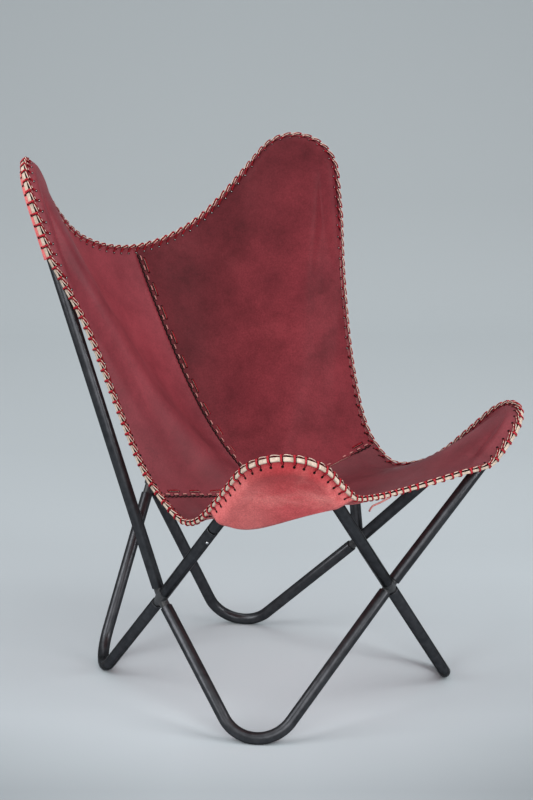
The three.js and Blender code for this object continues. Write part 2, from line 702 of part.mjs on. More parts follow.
// A pocket covers the outer side of a bow, from the crest to a free edge that leaves both legs squarely
function pocketSheet(samples, sweep) {
  const bands = samples.map((sample) => crestColumn(sample, pocketLayer, pocketClear, -1));
  const first = bands[0].at(-1);
  const last = bands.at(-1).at(-1);
  const edge = new THREE.CubicBezierCurve3(
    first, along(first, samples[0].spoke, -sweep / 3), along(last, samples.at(-1).spoke, -sweep / 3), last,
  );
  const columns = bands.map((band, k) => {
    const inner = band.at(-1);
    const foot = edge.getPoint(k / (bands.length - 1));
    const hangingPoint = (row) => inner.clone().lerp(foot, (row + 1) / POCKET_ROWS);
    const hanging = Array.from({ length: POCKET_ROWS }, (_, row) => hangingPoint(row));
    return [...band, ...hanging];
  });
  return sheet(rowsOf(columns), POCKET_THICKNESS);
}

// Lacing: a bead along each stretch of rim, strips along the seams, and one loose end

// A bead with one ring of points at every station along the rim
function bead(points, radius, sides) {
  const rings = points.map((point, k) => {
    const before = points[Math.max(k - 1, 0)];
    const after = points[Math.min(k + 1, points.length - 1)];
    const tangent = towards(before, after);
    const first = new THREE.Vector3().crossVectors(tangent, beadGuide(tangent)).normalize();
    const second = new THREE.Vector3().crossVectors(tangent, first);
    return Array.from({ length: sides }, (_, i) => {
      const angle = (2 * Math.PI * i) / sides;
      return along(along(point, first, radius * Math.cos(angle)), second, radius * Math.sin(angle));
    });
  });
  return closedLoft(rings);
}

// Skins a row of rings and closes both ends
function closedLoft(rings) {
  const sides = rings[0].length;
  const triangles = [];
  for (let k = 0; k + 1 < rings.length; k += 1) {
    for (let i = 0; i < sides; i += 1) {
      const [a, b] = [k * sides + i, k * sides + ((i + 1) % sides)];
      triangles.push([a, b, b + sides], [a, b + sides, a + sides]);
    }
  }
  const end = (rings.length - 1) * sides;
  for (let i = 1; i + 1 < sides; i += 1) {
    triangles.push([0, i + 1, i], [end, end + i, end + i + 1]);
  }
  return meshGeometry(rings.flat(), triangles);
}

const beadOffset = EDGE_LACE_DIAMETER / 2 + EDGE_LACE_GAP;
const crestBead = (samples) => samples.map((s) =>
  along(along(s.point, s.spoke, s.standoff + beadOffset), s.inward, s.lift));

// Bead points beside a free edge, square to the edge and in line with the leather
function freeBead(edge) {
  return edge.map((point, k) => {
    const tangent = towards(edge[Math.max(k - 1, 0)], edge[Math.min(k + 1, edge.length - 1)]);
    const outward = point.clone().sub(freeColumn(point)[1]);
    outward.addScaledVector(tangent, -outward.dot(tangent)).normalize();
    return along(point, outward, beadOffset);
  });
}

const rearMiddle = Math.floor(rearCrest.length / 2);
const frontMiddleIndex = Math.floor(frontCrest.length / 2);
const rearBead = crestBead(rearCrest);
const frontBead = crestBead(frontCrest);
const topBead = [...freeBead(topRun).slice(0, -1), ...rearBead.slice(0, rearMiddle + 1)];
const sideBead = [
  ...rearBead.slice(rearMiddle),
  ...freeBead([...sideUpperRun, ...sideLowerRun.slice(1)]).slice(1, -1),
  ...frontBead.slice(0, frontMiddleIndex + 1),
];
const frontHalfBead = [...frontBead.slice(frontMiddleIndex), ...freeBead(frontRun).slice(1)].reverse();

const trimmed = (points) => {
  const list = points.map((p) => p.clone());
  list[0].addScaledVector(towards(list[0], list[1]), EDGE_LACE_END_GAP);
  list[list.length - 1].addScaledVector(towards(list.at(-1), list.at(-2)), EDGE_LACE_END_GAP);
  return list;
};
const joinedHalves = (half) => [...half.slice(1).map(mirrored).reverse(), ...half];
const edgeLace = (points) => bead(trimmed(points), EDGE_LACE_DIAMETER / 2, EDGE_LACE_SIDES);

// A strip laid over a seam; it follows the leather on both sides of the seam line
function seamStrip(line, oneSide, otherSide, gap) {
  const lift = PANEL_THICKNESS / 2 + gap;
  const rings = line.map((point, k) => {
    const tangent = towards(line[Math.max(k - 1, 0)], line[Math.min(k + 1, line.length - 1)]);
    const arms = [oneSide[k], otherSide[k]].map((neighbour) => {
      const arm = neighbour.clone().sub(point);
      return arm.addScaledVector(tangent, -arm.dot(tangent)).normalize();
    });
    const normals = arms.map((arm) => {
      const normal = new THREE.Vector3().crossVectors(arm, tangent).normalize();
      return normal.z < 0 ? normal.negate() : normal;
    });
    const ridge = normals[0].clone().add(normals[1]).normalize();
    const level = (height) => [
      along(along(point, arms[0], SEAM_LACE_WIDTH / 2), normals[0], height),
      along(point, ridge, height / Math.max(ridge.dot(normals[0]), 0.5)),
      along(along(point, arms[1], SEAM_LACE_WIDTH / 2), normals[1], height),
    ];
    return [...level(lift), ...level(lift + SEAM_LACE_THICKNESS).reverse()];
  });
  const loft = closedLoft(rings);
  return solidVolume(loft) > 0 ? loft : reversed(loft);
}

function backSeamLace() {
  const line = backColumns[0].slice(1, -2);
  const right = backColumns[1].slice(1, -2);
  return seamStrip(line, right, right.map(mirrored), SEAM_LACE_GAP.back);
}

function seatSeamLace() {
  const pick = (columns, k) => columns.at(k).slice(1, -1);
  const whole = (half, middle) => [...half, middle, ...half.map(mirrored).reverse()];
  const line = whole(pick(seatHalfColumns, 0), seamMeet);
  const seatSide = whole(pick(seatHalfColumns, 1), seatHalfColumns.at(-1).at(-2));
  const backSide = whole(pick(backColumns, -2), backColumns[0].at(-2));
  return seamStrip(line, seatSide, backSide, SEAM_LACE_GAP.seat);
}

// The loose end leaves the front lacing, lies under it and droops at its tip
function tailStep(share) {
  const past = Math.max(share - 1 + TAIL_HOOK_SHARE, 0) / TAIL_HOOK_SHARE;
  const down = TAIL_DROOP * share + TAIL_HOOK * past ** 2;
  return vector(-TAIL_RUN * share, -TAIL_FORWARD * Math.sin((Math.PI / 2) * share), -down);
}

function laceTail() {
  const drop = (EDGE_LACE_DIAMETER + TAIL_DIAMETER) / 2 + TAIL_GAP;
  const start = along(frontHalfBead[1], up, -drop);
  const route = Array.from({ length: TAIL_STEPS + 1 }, (_, k) => tailStep(k / TAIL_STEPS).add(start));
  const curve = new THREE.CatmullRomCurve3(route);
  const section = new THREE.Shape();
  for (let i = 0; i < TAIL_SIDES; i += 1) {
    const angle = (2 * Math.PI * i) / TAIL_SIDES;
    const corner = [(TAIL_DIAMETER / 2) * Math.cos(angle), (TAIL_DIAMETER / 2) * Math.sin(angle)];
    if (i === 0) section.moveTo(...corner);
    else section.lineTo(...corner);
  }
  return new THREE.ExtrudeGeometry(section, { steps: TAIL_STEPS, extrudePath: curve });
}

// Assembly

const chair = new THREE.Group();
const finish = (color, roughness, metalness) => () =>
  new THREE.MeshStandardMaterial({ color, roughness, metalness });
const steelBlack = finish(0x2b2c2e, 0.45, 0.6);
const zincGrey = finish(0x8d8f92, 0.4, 0.9);
const oxblood = finish(0x7a2a2c, 0.6, 0);
const suede = finish(0xa05a58, 0.9, 0);
const laceRed = finish(0x9a4543, 0.7, 0);

function add(name, geometry, material) {
  const mesh = new THREE.Mesh(geometry, material);
  mesh.name = name;
  chair.add(mesh);
}

function addPair(name, right, material) {
  add(`${name}_right`, right, material());
  add(`${name}_left`, mirroredGeometry(right), material());
}

addPair('foot_bow_front', footBow(paths.frontFoot, 'front'), steelBlack);
addPair('foot_bow_rear', footBow(paths.rearFoot, 'rear'), steelBlack);
addPair('leg_front_side', upperLeg('right', paths.frontTip, 'frontSide', true), steelBlack);
addPair('leg_front_cross', upperLeg('front', paths.frontTip, 'frontCross', false), steelBlack);
addPair('leg_rear_side', upperLeg('right', paths.rearTip, 'rearSide', false), steelBlack);
addPair('leg_rear_cross', upperLeg('rear', paths.rearTip, 'rearCross', true), steelBlack);

const frontButton = buttonPlace(paths.frontTip, 'right', 'frontSide');
const rearButton = buttonPlace(paths.rearTip, 'rear', 'rearCross');
const holed = (bow, place) => geometryOf(solidOf(bow).subtract(buttonHole(place.point, place.outward)));
addPair('top_bow_front', holed(topBow(paths.frontTip, 'frontSide', 'frontCross'), frontButton), steelBlack);
addPair('top_bow_rear', holed(topBow(paths.rearTip, 'rearSide', 'rearCross'), rearButton), steelBlack);

addPair('cross_fitting', crossFitting('right'), zincGrey);
add('cross_fitting_front', crossFitting('front'), zincGrey());
add('cross_fitting_rear', crossFitting('rear'), zincGrey());

addPair('snap_button_front', snapButton(frontButton), zincGrey);
addPair('snap_button_rear', snapButton(rearButton), zincGrey);
addPair('button_spring_front', buttonSpring(frontButton), zincGrey);
addPair('button_spring_rear', buttonSpring(rearButton), zincGrey);

addPair('back_panel', backPanelRight(), oxblood);
add('seat_panel', seatPanel(), oxblood());
addPair('pocket_front', pocketSheet(frontCrest, POCKET_EDGE_SWEEP.front), suede);
addPair('pocket_rear', pocketSheet(rearCrest, POCKET_EDGE_SWEEP.rear), suede);

add('edge_lace_back', edgeLace(joinedHalves(topBead)), laceRed());
addPair('edge_lace', edgeLace(sideBead), laceRed);
add('edge_lace_front', edgeLace(joinedHalves(frontHalfBead)), laceRed());
add('back_seam_lace', backSeamLace(), laceRed());
add('seat_seam_lace', seatSeamLace(), laceRed());
add('lace_tail', laceTail(), laceRed());

// The origin lies on the floor under the middle of the chair, measured without the loose lace
const extent = new THREE.Box3();
const standing = chair.children.filter((mesh) => mesh.name !== 'lace_tail');
standing.forEach((mesh) => extent.expandByObject(mesh, true));
const middleY = extent.getCenter(new THREE.Vector3()).y;
chair.children.forEach((mesh) => mesh.geometry.translate(0, -middleY, 0));

export default chair;
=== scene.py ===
"""Looks of a butterfly sling chair: bent tube frame, laced leather sling and a pale studio. Metres, +Z up."""

import math

import bpy
import numpy as np
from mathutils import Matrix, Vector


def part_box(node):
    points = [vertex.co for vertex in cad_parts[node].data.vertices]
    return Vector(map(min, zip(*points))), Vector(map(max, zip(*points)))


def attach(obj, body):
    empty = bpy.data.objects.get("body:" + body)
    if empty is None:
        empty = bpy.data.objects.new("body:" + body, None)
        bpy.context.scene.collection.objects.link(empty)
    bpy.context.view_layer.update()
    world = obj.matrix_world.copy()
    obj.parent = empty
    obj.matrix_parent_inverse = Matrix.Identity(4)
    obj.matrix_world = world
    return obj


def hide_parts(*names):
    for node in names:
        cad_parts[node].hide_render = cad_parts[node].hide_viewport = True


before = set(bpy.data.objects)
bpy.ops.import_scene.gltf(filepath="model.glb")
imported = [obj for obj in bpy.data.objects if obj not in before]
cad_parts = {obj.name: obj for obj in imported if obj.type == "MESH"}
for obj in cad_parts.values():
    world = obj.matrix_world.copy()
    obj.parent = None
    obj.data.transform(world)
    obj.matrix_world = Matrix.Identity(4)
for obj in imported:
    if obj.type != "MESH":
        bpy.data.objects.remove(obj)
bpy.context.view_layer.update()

# Tube and joints
TUBE_RADIUS = 0.010
TUBE_WALL = 0.0015
TUBE_SIDES = 32
BEND_STEPS = 28
LIP = 0.0008
MOUTH_CLEARANCE = 0.0006
SLIP_RADIUS = 0.0079
STUB_DEPTH = 0.034
PLUG_LENGTH = 0.046
PLUG_TAPER = 0.005
PLUG_SHOULDER_GAP = 0.0005
BORE = TUBE_RADIUS - TUBE_WALL
BORE_DEPTH = 0.020
ARM_ROOT_SHARE = 0.6
FITTING_VOXEL = 0.0011
FITTING_EASE = 0.5
FITTING_EASE_TURNS = 6

# Crossings, foot bows and top bows, on the sitter's right
SIDE_CROSSING = np.array([-0.237, 0.0, 0.197])
FRONT_CROSSING = np.array([0.0, -0.288, 0.229])
REAR_CROSSING = np.array([0.0, 0.292, 0.295])
FRONT_FOOT_PLAN = (-0.252, -0.230)
REAR_FOOT_PLAN = (-0.171, 0.262)
FOOT_BEND_RADIUS = 0.064
FOOT_FLAT_DEPTH = 0.0008
FRONT_TIP_PLAN = (-0.314, -0.369)
FRONT_TIP_HEIGHT = 0.492
FRONT_TIP_BEND = 0.058
FRONT_LEFT_BEND = 0.064
REAR_TIP_PLAN = (-0.378, 0.253)
REAR_TIP_HEIGHT = 0.894
REAR_TIP_BEND = 0.060
BOW_RUN = {"front_side": 0.151, "front_cross": 0.031, "rear_side": 0.055, "rear_cross": 0.137}
BUTTON_FROM_LEG_END = 0.024
BUTTON_RADIUS = 0.0025
BUTTON_PROUD = 0.0022
BUTTON_FLANGE_RADIUS = 0.004
BUTTON_FLANGE_LEVELS = (0.0034, 0.0044)
BUTTON_DOME = 0.0014
BUTTON_DOME_STEPS = 9
HOLE_RIM_STANDOFF = 0.0007
HOLE_RIM_DEPTH = 0.0003
HOLE_RIM_HALF = 0.0004
HOLE_RIM_STEPS = 12

# Search for a bend's place: how far it looks up and down, how often it halves, and points tried on the bend
SEARCH_REACH = 0.8
SEARCH_TURNS = 60
SEARCH_POINTS = 64

# Leather
PANEL_THICKNESS = 0.0032
POCKET_THICKNESS = 0.0026
LEATHER_GAP = 0.0013
LAYER_GAP = 0.0004
EDGE_BAND = 0.015
FREE_BAND = 0.034
POCKET_REACH = {"front_right": (0.182, 0.126), "front_left": (0.174, 0.118), "rear": (0.166, 0.062)}
POCKET_EDGE_SWEEP = {"front": (0.12, 0.25), "rear": (0.16, 0.16)}
HUB = np.array([0.0, -0.020, 0.336])
BACK_TOP_MIDDLE = np.array([0.0, 0.3275, 0.716])
BACK_TOP_QUARTER = np.array([-0.1385, 0.315, 0.752])
FRONT_EDGE_MIDDLE = np.array([0.0, -0.3245, 0.397])
FRONT_EDGE_QUARTER = np.array([-0.103, -0.341, 0.406])
SIDE_EDGE_UPPER = np.array([(-0.299, 0.102, 0.641), (-0.274, 0.058, 0.512), (-0.2595, 0.013, 0.412)])
SEAM_EDGE_END = np.array([-0.254, -0.020, 0.374])
SIDE_EDGE_LOWER = np.array([(-0.254, -0.067, 0.346), (-0.270, -0.122, 0.357)])
SAG_POWER = {"side": 1.35, "back": 1.78, "front": 2.0, "front_corner": 0.6}
SEAM_GAP = 0.0008
SEAM_HOLD = 22.0
SMOOTHING = 0.0965
HUB_SHARE = 0.012
FOCUS = np.array([0.0, -0.1, 0.8])
POCKET_BULGE = 0.0035
POCKET_BULGE_SHARE = 0.8
FRONT_POCKET_FLAT = (0.24, 0.16)
REAR_POCKET_FLAT = (0.20, 0.17)

# Slow waves of slack leather: their height; turns and start round the ring, turns and start down a column,
# and share of each; and how fast they fade in from the rim and out at the middle
WAVE = 0.0016
SLACK_WAVES = [(3, 0.4, 2.3, 0.0, 1.0), (7, 1.9, 3.1, 0.6, 0.7)]
SLACK_FADE = (4, 3)

# Rim of the leather on the bows: standoff from the tube's axis and lift toward the seat, each at the side end
# and at the cross end, and extra standoff at the crown and beyond the bend
REAR_RIM = {"standoff": (0.015, 0.015), "crown": 0.0, "flare": 0.0, "lift": (-0.002, -0.002), "fade": "run"}
FRONT_RIM = {
    "right": {"standoff": (0.019, 0.019), "crown": 0.0, "flare": 0.010, "lift": (0.008, 0.0), "fade": "run"},
    "left": {"standoff": (0.006, 0.019), "crown": 0.004, "flare": 0.006, "lift": (0.013, -0.007),
             "fade": "bend"},
}

# Fineness of the leather
FINE = 6
RIM_STEPS = {"top": 6, "rear_crest": 12, "side_upper": 7, "side_lower": 5, "front_crest": 11, "front": 4}
BAND_ROWS = 10
HANG_ROWS = 44
POCKET_ROWS = 16
ROUND_STEPS = 12
BRIDGE = 9

# Edge lacing: laces as width, thickness and steps, and the spread of the single stitches
STITCH_PITCH = 0.0182
STRAP_WIDTH = 0.0031
STRAP_STEPS = 26
LACE_THICKNESS = 0.0019
LINK_LACE = (0.0032, LACE_THICKNESS, 20)
CUT_LACE = (0.0014, 0.0011, 14)
# Painted shadow: a dark strip on the inside under each link
LINK_SHADOW_LACE = (0.0028, 0.0005, 12)
# Painted shadow: a dark line beside each strap on the outside, set aside by a share of the strap's width
SHADE_LACE = (0.0019, 0.0006, 16)
SHADE_ASIDE = 0.62
PLACE_SPREAD = 0.0006
WIDTH_SPREAD = 0.08
WELT_REACH = 0.0036
WELT_STEP = 0.005

# Depths where the laces dive, and punched holes: share of the pitch, depth beyond that, lift and radius
INNER_HOLE_DEPTH = 0.0085
FRONT_INNER_HOLE_DEPTH = 0.0062
FRONT_HEIGHT = 0.53
OUTER_HOLE_DEPTH = 0.0068
INNER_PUNCH = (0.05, 0.0012, 0.0003, 0.00216)
OUTER_PUNCH = (0.11, 0.0016, 0.0009, 0.00224)
GLINT_LIFT = 0.0002
GLINT_RADIUS = 0.00064

# Seam lacing: a wavy dark line of painted shadow along the join, short stitches and long dashes, each in a
# dark outline of painted shadow and between two holes
SEAM_STITCH_PITCH = 0.0186
SHORT_LENGTH = 0.0090
SHORT_WIDTH = 0.0020
SHORT_OFFSET = 0.0050
DASH_PITCH = 0.047
DASH_LENGTH = 0.025
DASH_WIDTH = 0.0034
DASH_OFFSET = 0.0125
DASH_SPREAD = (0.0015, 0.0012)
SEAM_STOPS = 9
SEAM_LACE_THICKNESS = 0.0014
SEAM_LACE_RISE = 0.0013
SEAM_LACE_DIVE = 0.0014
OUTLINE_LONGER = 0.0022
OUTLINE_WIDER = 0.0020
OUTLINE_THICKNESS = 0.0006
OUTLINE_LIFT = 0.0001
SEAM_HOLE_RADIUS = 0.0015
SEAM_HOLE_BEYOND = 0.0008
SEAM_HOLE_LIFT = 0.0006
JOIN_SHADOW_WIDTH = 0.0027
JOIN_SHADOW_THICKNESS = 0.0007
JOIN_SHADOW_LIFT = 0.0003
JOIN_SHADOW_SWAY = 0.0008
JOIN_SHADOW_STEP = 0.0012
JOIN_SHADOW_END = 0.001

# Levels of the bound edge from the middle of the leather, at a free edge and where a pocket is laced on
BAND_LOW = (-0.0032, -0.0050)
CREAM_TOP = (0.0013, 0.0025)
SLOT_TOP = (0.0034, 0.0050)
LINK_LEVEL = (0.0046, 0.0066)

# Loose end of the front lace
TAIL_DIAMETER = 0.003
TAIL_RUN = 0.056
TAIL_FORWARD = 0.008
TAIL_DROOP = 0.003
TAIL_HOOK = 0.007
TAIL_HOOK_SHARE = 0.2
TAIL_STEPS = 40
TAIL_SIDES = 16

# Camera, in the setting-out axes before the chair is centred
CAMERA_PLACE = np.array([-2.40307, -2.43470, 1.25610])
CAMERA_YAW = math.radians(44.69)
CAMERA_PITCH = math.radians(-12.60)
CAMERA_LENS = 93.51
CAMERA_SENSOR = 36.0

# Colours: tones of the leather by distance along a direction, partly painted shade and partly its dyeing;
# clouds of its dyeing; painted light on the flesh side along the front; and a darker band of the flesh side
# at a given height
TOWARD_SEAM = (-1.4, 0.0, 1.0)
ALONG_FRONT = (0.633, -0.769, 0.085)
RIGHT_SHADE_AND_DYE = [(0.36, 0.78), (0.44, 0.84), (0.52, 1.0), (0.60, 1.0)]
LEFT_SHADE_AND_DYE = [(0.24, 0.86), (0.30, 0.81), (0.34, 0.84), (0.42, 0.68), (0.49, 0.46), (0.56, 0.46), (0.70, 0.56)]
SEAT_SHADE_AND_DYE = [(0.30, 0.60), (0.38, 0.64), (0.44, 0.80), (0.50, 0.88)]
LEATHER_CLOUDS = [(0.30, 118, 28, 38), (0.45, 129, 35, 44), (0.60, 139, 40, 49), (0.75, 148, 48, 56)]
FLESH_PAINTED_LIGHT = [(0.0, 0.36), (0.04, 0.40), (0.09, 0.0), (0.14, 0.0), (0.2, 0.12)]
FLESH_DARK_BAND = (0.43, 0.65)
STEEL_SHADE = 14
LACE_BUMP = (1200, 3, 0.25, 0.0004)

BODY = "chair"
SIDES = ("right", "left")
UP = np.array([0.0, 0.0, 1.0])
MIRROR = np.array([-1.0, 1.0, 1.0])
FORWARD = np.array([math.sin(CAMERA_YAW), math.cos(CAMERA_YAW), 0.0])
SIDEWAYS = np.array([math.cos(CAMERA_YAW), -math.sin(CAMERA_YAW), 0.0])
rng = np.random.default_rng(7)


# Vector helpers

def unit(v):
    v = np.asarray(v, float)
    return v / np.linalg.norm(v, axis=-1, keepdims=True)


def turned(v, axis, angle):
    cosine = math.cos(angle)
    return v * cosine + np.cross(axis, v) * math.sin(angle) + axis * np.dot(axis, v) * (1 - cosine)


def run_along(points):
    """Distance of each point of a line from its first, along the line."""
    return np.concatenate([[0], np.cumsum(np.linalg.norm(np.diff(points, axis=0), axis=1))])


def read_at(at, run, values):
    """Rows of values that are given at a run of distances, read at other distances."""
    return np.stack([np.interp(at, run, values[:, k]) for k in range(values.shape[1])], axis=-1)


def ease(share):
    return share * share * (3 - 2 * share)


def between(pair, share):
    return pair[0] + (pair[1] - pair[0]) * share


# Frame setting-out

class BentPath:
    """Two straight legs from their crossings, joined by a bend near the point where their lines meet."""

    def __init__(self, start, apex, end, radius):
        self.start, self.apex, self.end, self.radius = start, apex, end, radius
        self.first = unit(start - apex)
        self.second = unit(end - apex)
        half = math.acos(np.clip(np.dot(self.first, self.second), -1, 1)) / 2
        self.centre = apex + unit(self.first + self.second) * radius / math.sin(half)
        self.tangent_length = radius / math.tan(half)
        self.spoke_start = unit(apex + self.first * self.tangent_length - self.centre)
        self.normal = unit(np.cross(self.first, self.second))
        self.sweep = math.pi - 2 * half
        towards_middle = np.array([0.0, 0.0, SIDE_CROSSING[2]]) - self.centre
        self.inward = self.normal * np.sign(np.dot(self.normal, towards_middle))

    def spoke(self, share):
        return turned(self.spoke_start, self.normal, -self.sweep * share)

    def arc(self, share):
        return self.centre + self.spoke(share) * self.radius


def apex_for_height(plan, end, radius, extreme, wanted):
    """Apex over that plan point for which the bend's highest or lowest point is as asked."""
    low, high = wanted - SEARCH_REACH, wanted + SEARCH_REACH
    for _ in range(SEARCH_TURNS):
        middle = (low + high) / 2
        path = BentPath(SIDE_CROSSING, np.array([*plan, middle]), end, radius)
        if extreme(path.arc(k / SEARCH_POINTS)[2] for k in range(SEARCH_POINTS + 1)) > wanted:
            high = middle
        else:
            low = middle
    return np.array([*plan, (low + high) / 2])


def foot_path(plan, end):
    apex = apex_for_height(plan, end, FOOT_BEND_RADIUS, min, TUBE_RADIUS - FOOT_FLAT_DEPTH)
    return BentPath(SIDE_CROSSING, apex, end, FOOT_BEND_RADIUS)


def tip_path(plan, end, bend, height):
    apex = apex_for_height(plan, end, bend, max, height - TUBE_RADIUS)
    return BentPath(SIDE_CROSSING, apex, end, bend)


front_foot = foot_path(FRONT_FOOT_PLAN, FRONT_CROSSING)
rear_foot = foot_path(REAR_FOOT_PLAN, REAR_CROSSING)
front_tip = tip_path(FRONT_TIP_PLAN, FRONT_CROSSING, FRONT_TIP_BEND, FRONT_TIP_HEIGHT)
rear_tip = tip_path(REAR_TIP_PLAN, REAR_CROSSING, REAR_TIP_BEND, REAR_TIP_HEIGHT)
front_tips = {
    "right": front_tip,
    "left": BentPath(SIDE_CROSSING, front_tip.apex, FRONT_CROSSING, FRONT_LEFT_BEND),
}


# Upper legs: the bow they hold, the crossing they start from and its name
LEGS = {
    "front_side": (front_tip, SIDE_CROSSING, "right"),
    "front_cross": (front_tip, FRONT_CROSSING, "front"),
    "rear_side": (rear_tip, SIDE_CROSSING, "right"),
    "rear_cross": (rear_tip, REAR_CROSSING, "rear"),
}


def leg_length(key):
    """Distance from a crossing to the end of its upper leg, where the bow plugs in."""
    path, origin, _ = LEGS[key]
    return np.linalg.norm(path.apex - origin) - path.tangent_length - BOW_RUN[key]


LEG_LENGTH = {key: leg_length(key) for key in LEGS}

arms = {
    "right": [unit(p.apex - SIDE_CROSSING) for p in (front_tip, rear_tip, front_foot, rear_foot)],
    "front": [unit(a - FRONT_CROSSING) for a in (front_tip.apex, front_tip.apex * MIRROR,
                                                 front_foot.apex, front_foot.apex * MIRROR)],
    "rear": [unit(a - REAR_CROSSING) for a in (rear_tip.apex * MIRROR, rear_tip.apex,
                                               rear_foot.apex, rear_foot.apex * MIRROR)],
}


def mouth_distance(directions):
    """How far from a crossing its tubes just clear each other."""
    least = min(math.acos(np.dot(a, b)) for i, a in enumerate(directions) for b in directions[i + 1:])
    return (TUBE_RADIUS + MOUTH_CLEARANCE / 2) / math.tan(least / 2) + MOUTH_CLEARANCE


mouth = {key: mouth_distance(directions) for key, directions in arms.items()}

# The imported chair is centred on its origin: a straight leg shows by how much
leg_direction = unit(front_tip.apex - FRONT_CROSSING)
leg_middle = FRONT_CROSSING + leg_direction * (mouth["front"] + LEG_LENGTH["front_cross"]) / 2
leg_low, leg_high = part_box("leg_front_cross_right")
CENTRING = np.array([0.0, (leg_low[1] + leg_high[1]) / 2 - leg_middle[1], 0.0])


# Mesh helpers

def make_object(name, points, faces, materials, indices=None):
    mesh = bpy.data.meshes.new(name)
    mesh.from_pydata((np.asarray(points) + CENTRING).tolist(), [], faces)
    for material in materials:
        mesh.materials.append(material)
    if indices is not None:
        mesh.polygons.foreach_set("material_index", np.asarray(indices, np.int32))
    mesh.polygons.foreach_set("use_smooth", np.full(len(mesh.polygons), True))
    mesh.update()
    piece = bpy.data.objects.new(name, mesh)
    bpy.context.scene.collection.objects.link(piece)
    return piece


def settle(piece, nodes, body=BODY):
    """The piece rides on a body and stands for those nodes, which are hidden."""
    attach(piece, body)
    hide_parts(*nodes)
    return piece


class Builder:
    """Collects points, faces and material indices of one piece."""

    def __init__(self):
        self.points, self.faces, self.indices = [], [], []

    def add(self, points, faces, index=0):
        first = len(self.points)
        self.points.extend(np.asarray(points).tolist())
        self.faces.extend([tuple(first + k for k in face) for face in faces])
        if np.ndim(index) == 0:
            index = [index] * len(faces)
        self.indices.extend(index)

    def piece(self, name, materials):
        return make_object(name, self.points, self.faces, materials, self.indices)

    def mirrored(self):
        copy = Builder()
        copy.points = (np.asarray(self.points) * MIRROR).tolist()
        copy.faces = [tuple(reversed(face)) for face in self.faces]
        copy.indices = list(self.indices)
        return copy


def ring_faces(rings, sides, caps=True):
    """Faces of a skin over a row of rings, outward where the rings turn about their direction of travel."""
    faces = []
    for k in range(rings - 1):
        for i in range(sides):
            a, b = k * sides + i, k * sides + (i + 1) % sides
            faces.append((a, b, b + sides, a + sides))
    if caps:
        faces.append(tuple(reversed(range(sides))))
        faces.append(tuple(range((rings - 1) * sides, rings * sides)))
    return faces


def round_rings(stations, normal, sides):
    """Circles at stations of point, tangent and radius, all turned from the same side direction."""
    angles = 2 * math.pi * np.arange(sides) / sides
    points = []
    for point, tangent, radius in stations:
        across = unit(np.cross(tangent, normal))
        spokes = np.outer(np.cos(angles), normal) + np.outer(np.sin(angles), -across)
        points.append(point + radius * spokes)
    return np.concatenate(points)


def stations_along(origin, direction, steps):
    """Stations on a straight axis from distances and radii."""
    return [(origin + direction * distance, direction, radius) for distance, radius in steps]


def open_end(point, tangent):
    """Stations of a tube's mouth, from deep in the bore out over the rounded lip."""
    return stations_along(point, tangent, [
        (BORE_DEPTH, BORE), (LIP, BORE), (0.0, BORE + LIP / 2), (0.0, TUBE_RADIUS - LIP),
        (LIP / 3, TUBE_RADIUS - LIP / 4), (LIP, TUBE_RADIUS)])


def other_end(point, tangent):
    return [(p, tangent, r) for p, _, r in reversed(open_end(point, -tangent))]


def tube_builder(stations, normal):
    made = Builder()
    made.add(round_rings(stations, normal, TUBE_SIDES), ring_faces(len(stations), TUBE_SIDES))
    return made


def bend_stations(path):
    """Stations round the bend of a path, from its first leg to its second."""
    stations = []
    for k in range(BEND_STEPS + 1):
        spoke = path.spoke(k / BEND_STEPS)
        stations.append((path.arc(k / BEND_STEPS), np.cross(spoke, path.normal), TUBE_RADIUS))
    return stations


def foot_bow(path, end_key):
    start = path.start - path.first * mouth["right"]
    end = path.end - path.second * mouth[end_key]
    stations = open_end(start, -path.first) + bend_stations(path) + other_end(end, path.second)
    return tube_builder(stations, path.normal)


def upper_leg(key):
    path, origin, crossing = LEGS[key]
    direction = unit(path.apex - origin)
    start = origin + direction * mouth[crossing]
    end = origin + direction * LEG_LENGTH[key]
    return tube_builder(open_end(start, direction) + other_end(end, direction), path.normal)


def top_bow(path, side_length, cross_length):
    """A bow with swaged plugs that slide into the upper legs."""
    def plug(origin, length, sign):
        direction = unit(path.apex - origin)
        shoulder = length + PLUG_SHOULDER_GAP
        steps = [(length - PLUG_LENGTH, SLIP_RADIUS), (shoulder, SLIP_RADIUS),
                 (shoulder + PLUG_TAPER / 2, (SLIP_RADIUS + TUBE_RADIUS) / 2),
                 (shoulder + PLUG_TAPER, TUBE_RADIUS), (shoulder + PLUG_TAPER + LIP, TUBE_RADIUS)]
        made = [(origin + direction * distance, direction * sign, radius) for distance, radius in steps]
        return made if sign > 0 else made[::-1]
    stations = plug(path.start, side_length, 1) + bend_stations(path) + plug(path.end, cross_length, -1)
    return tube_builder(stations, path.normal)


def rod(start, end, radius):
    direction = unit(end - start)
    helper = UP if abs(direction[2]) < 0.9 else np.array([1.0, 0.0, 0.0])
    normal = unit(np.cross(direction, helper))
    return tube_builder([(start, direction, radius), (end, direction, radius)], normal)


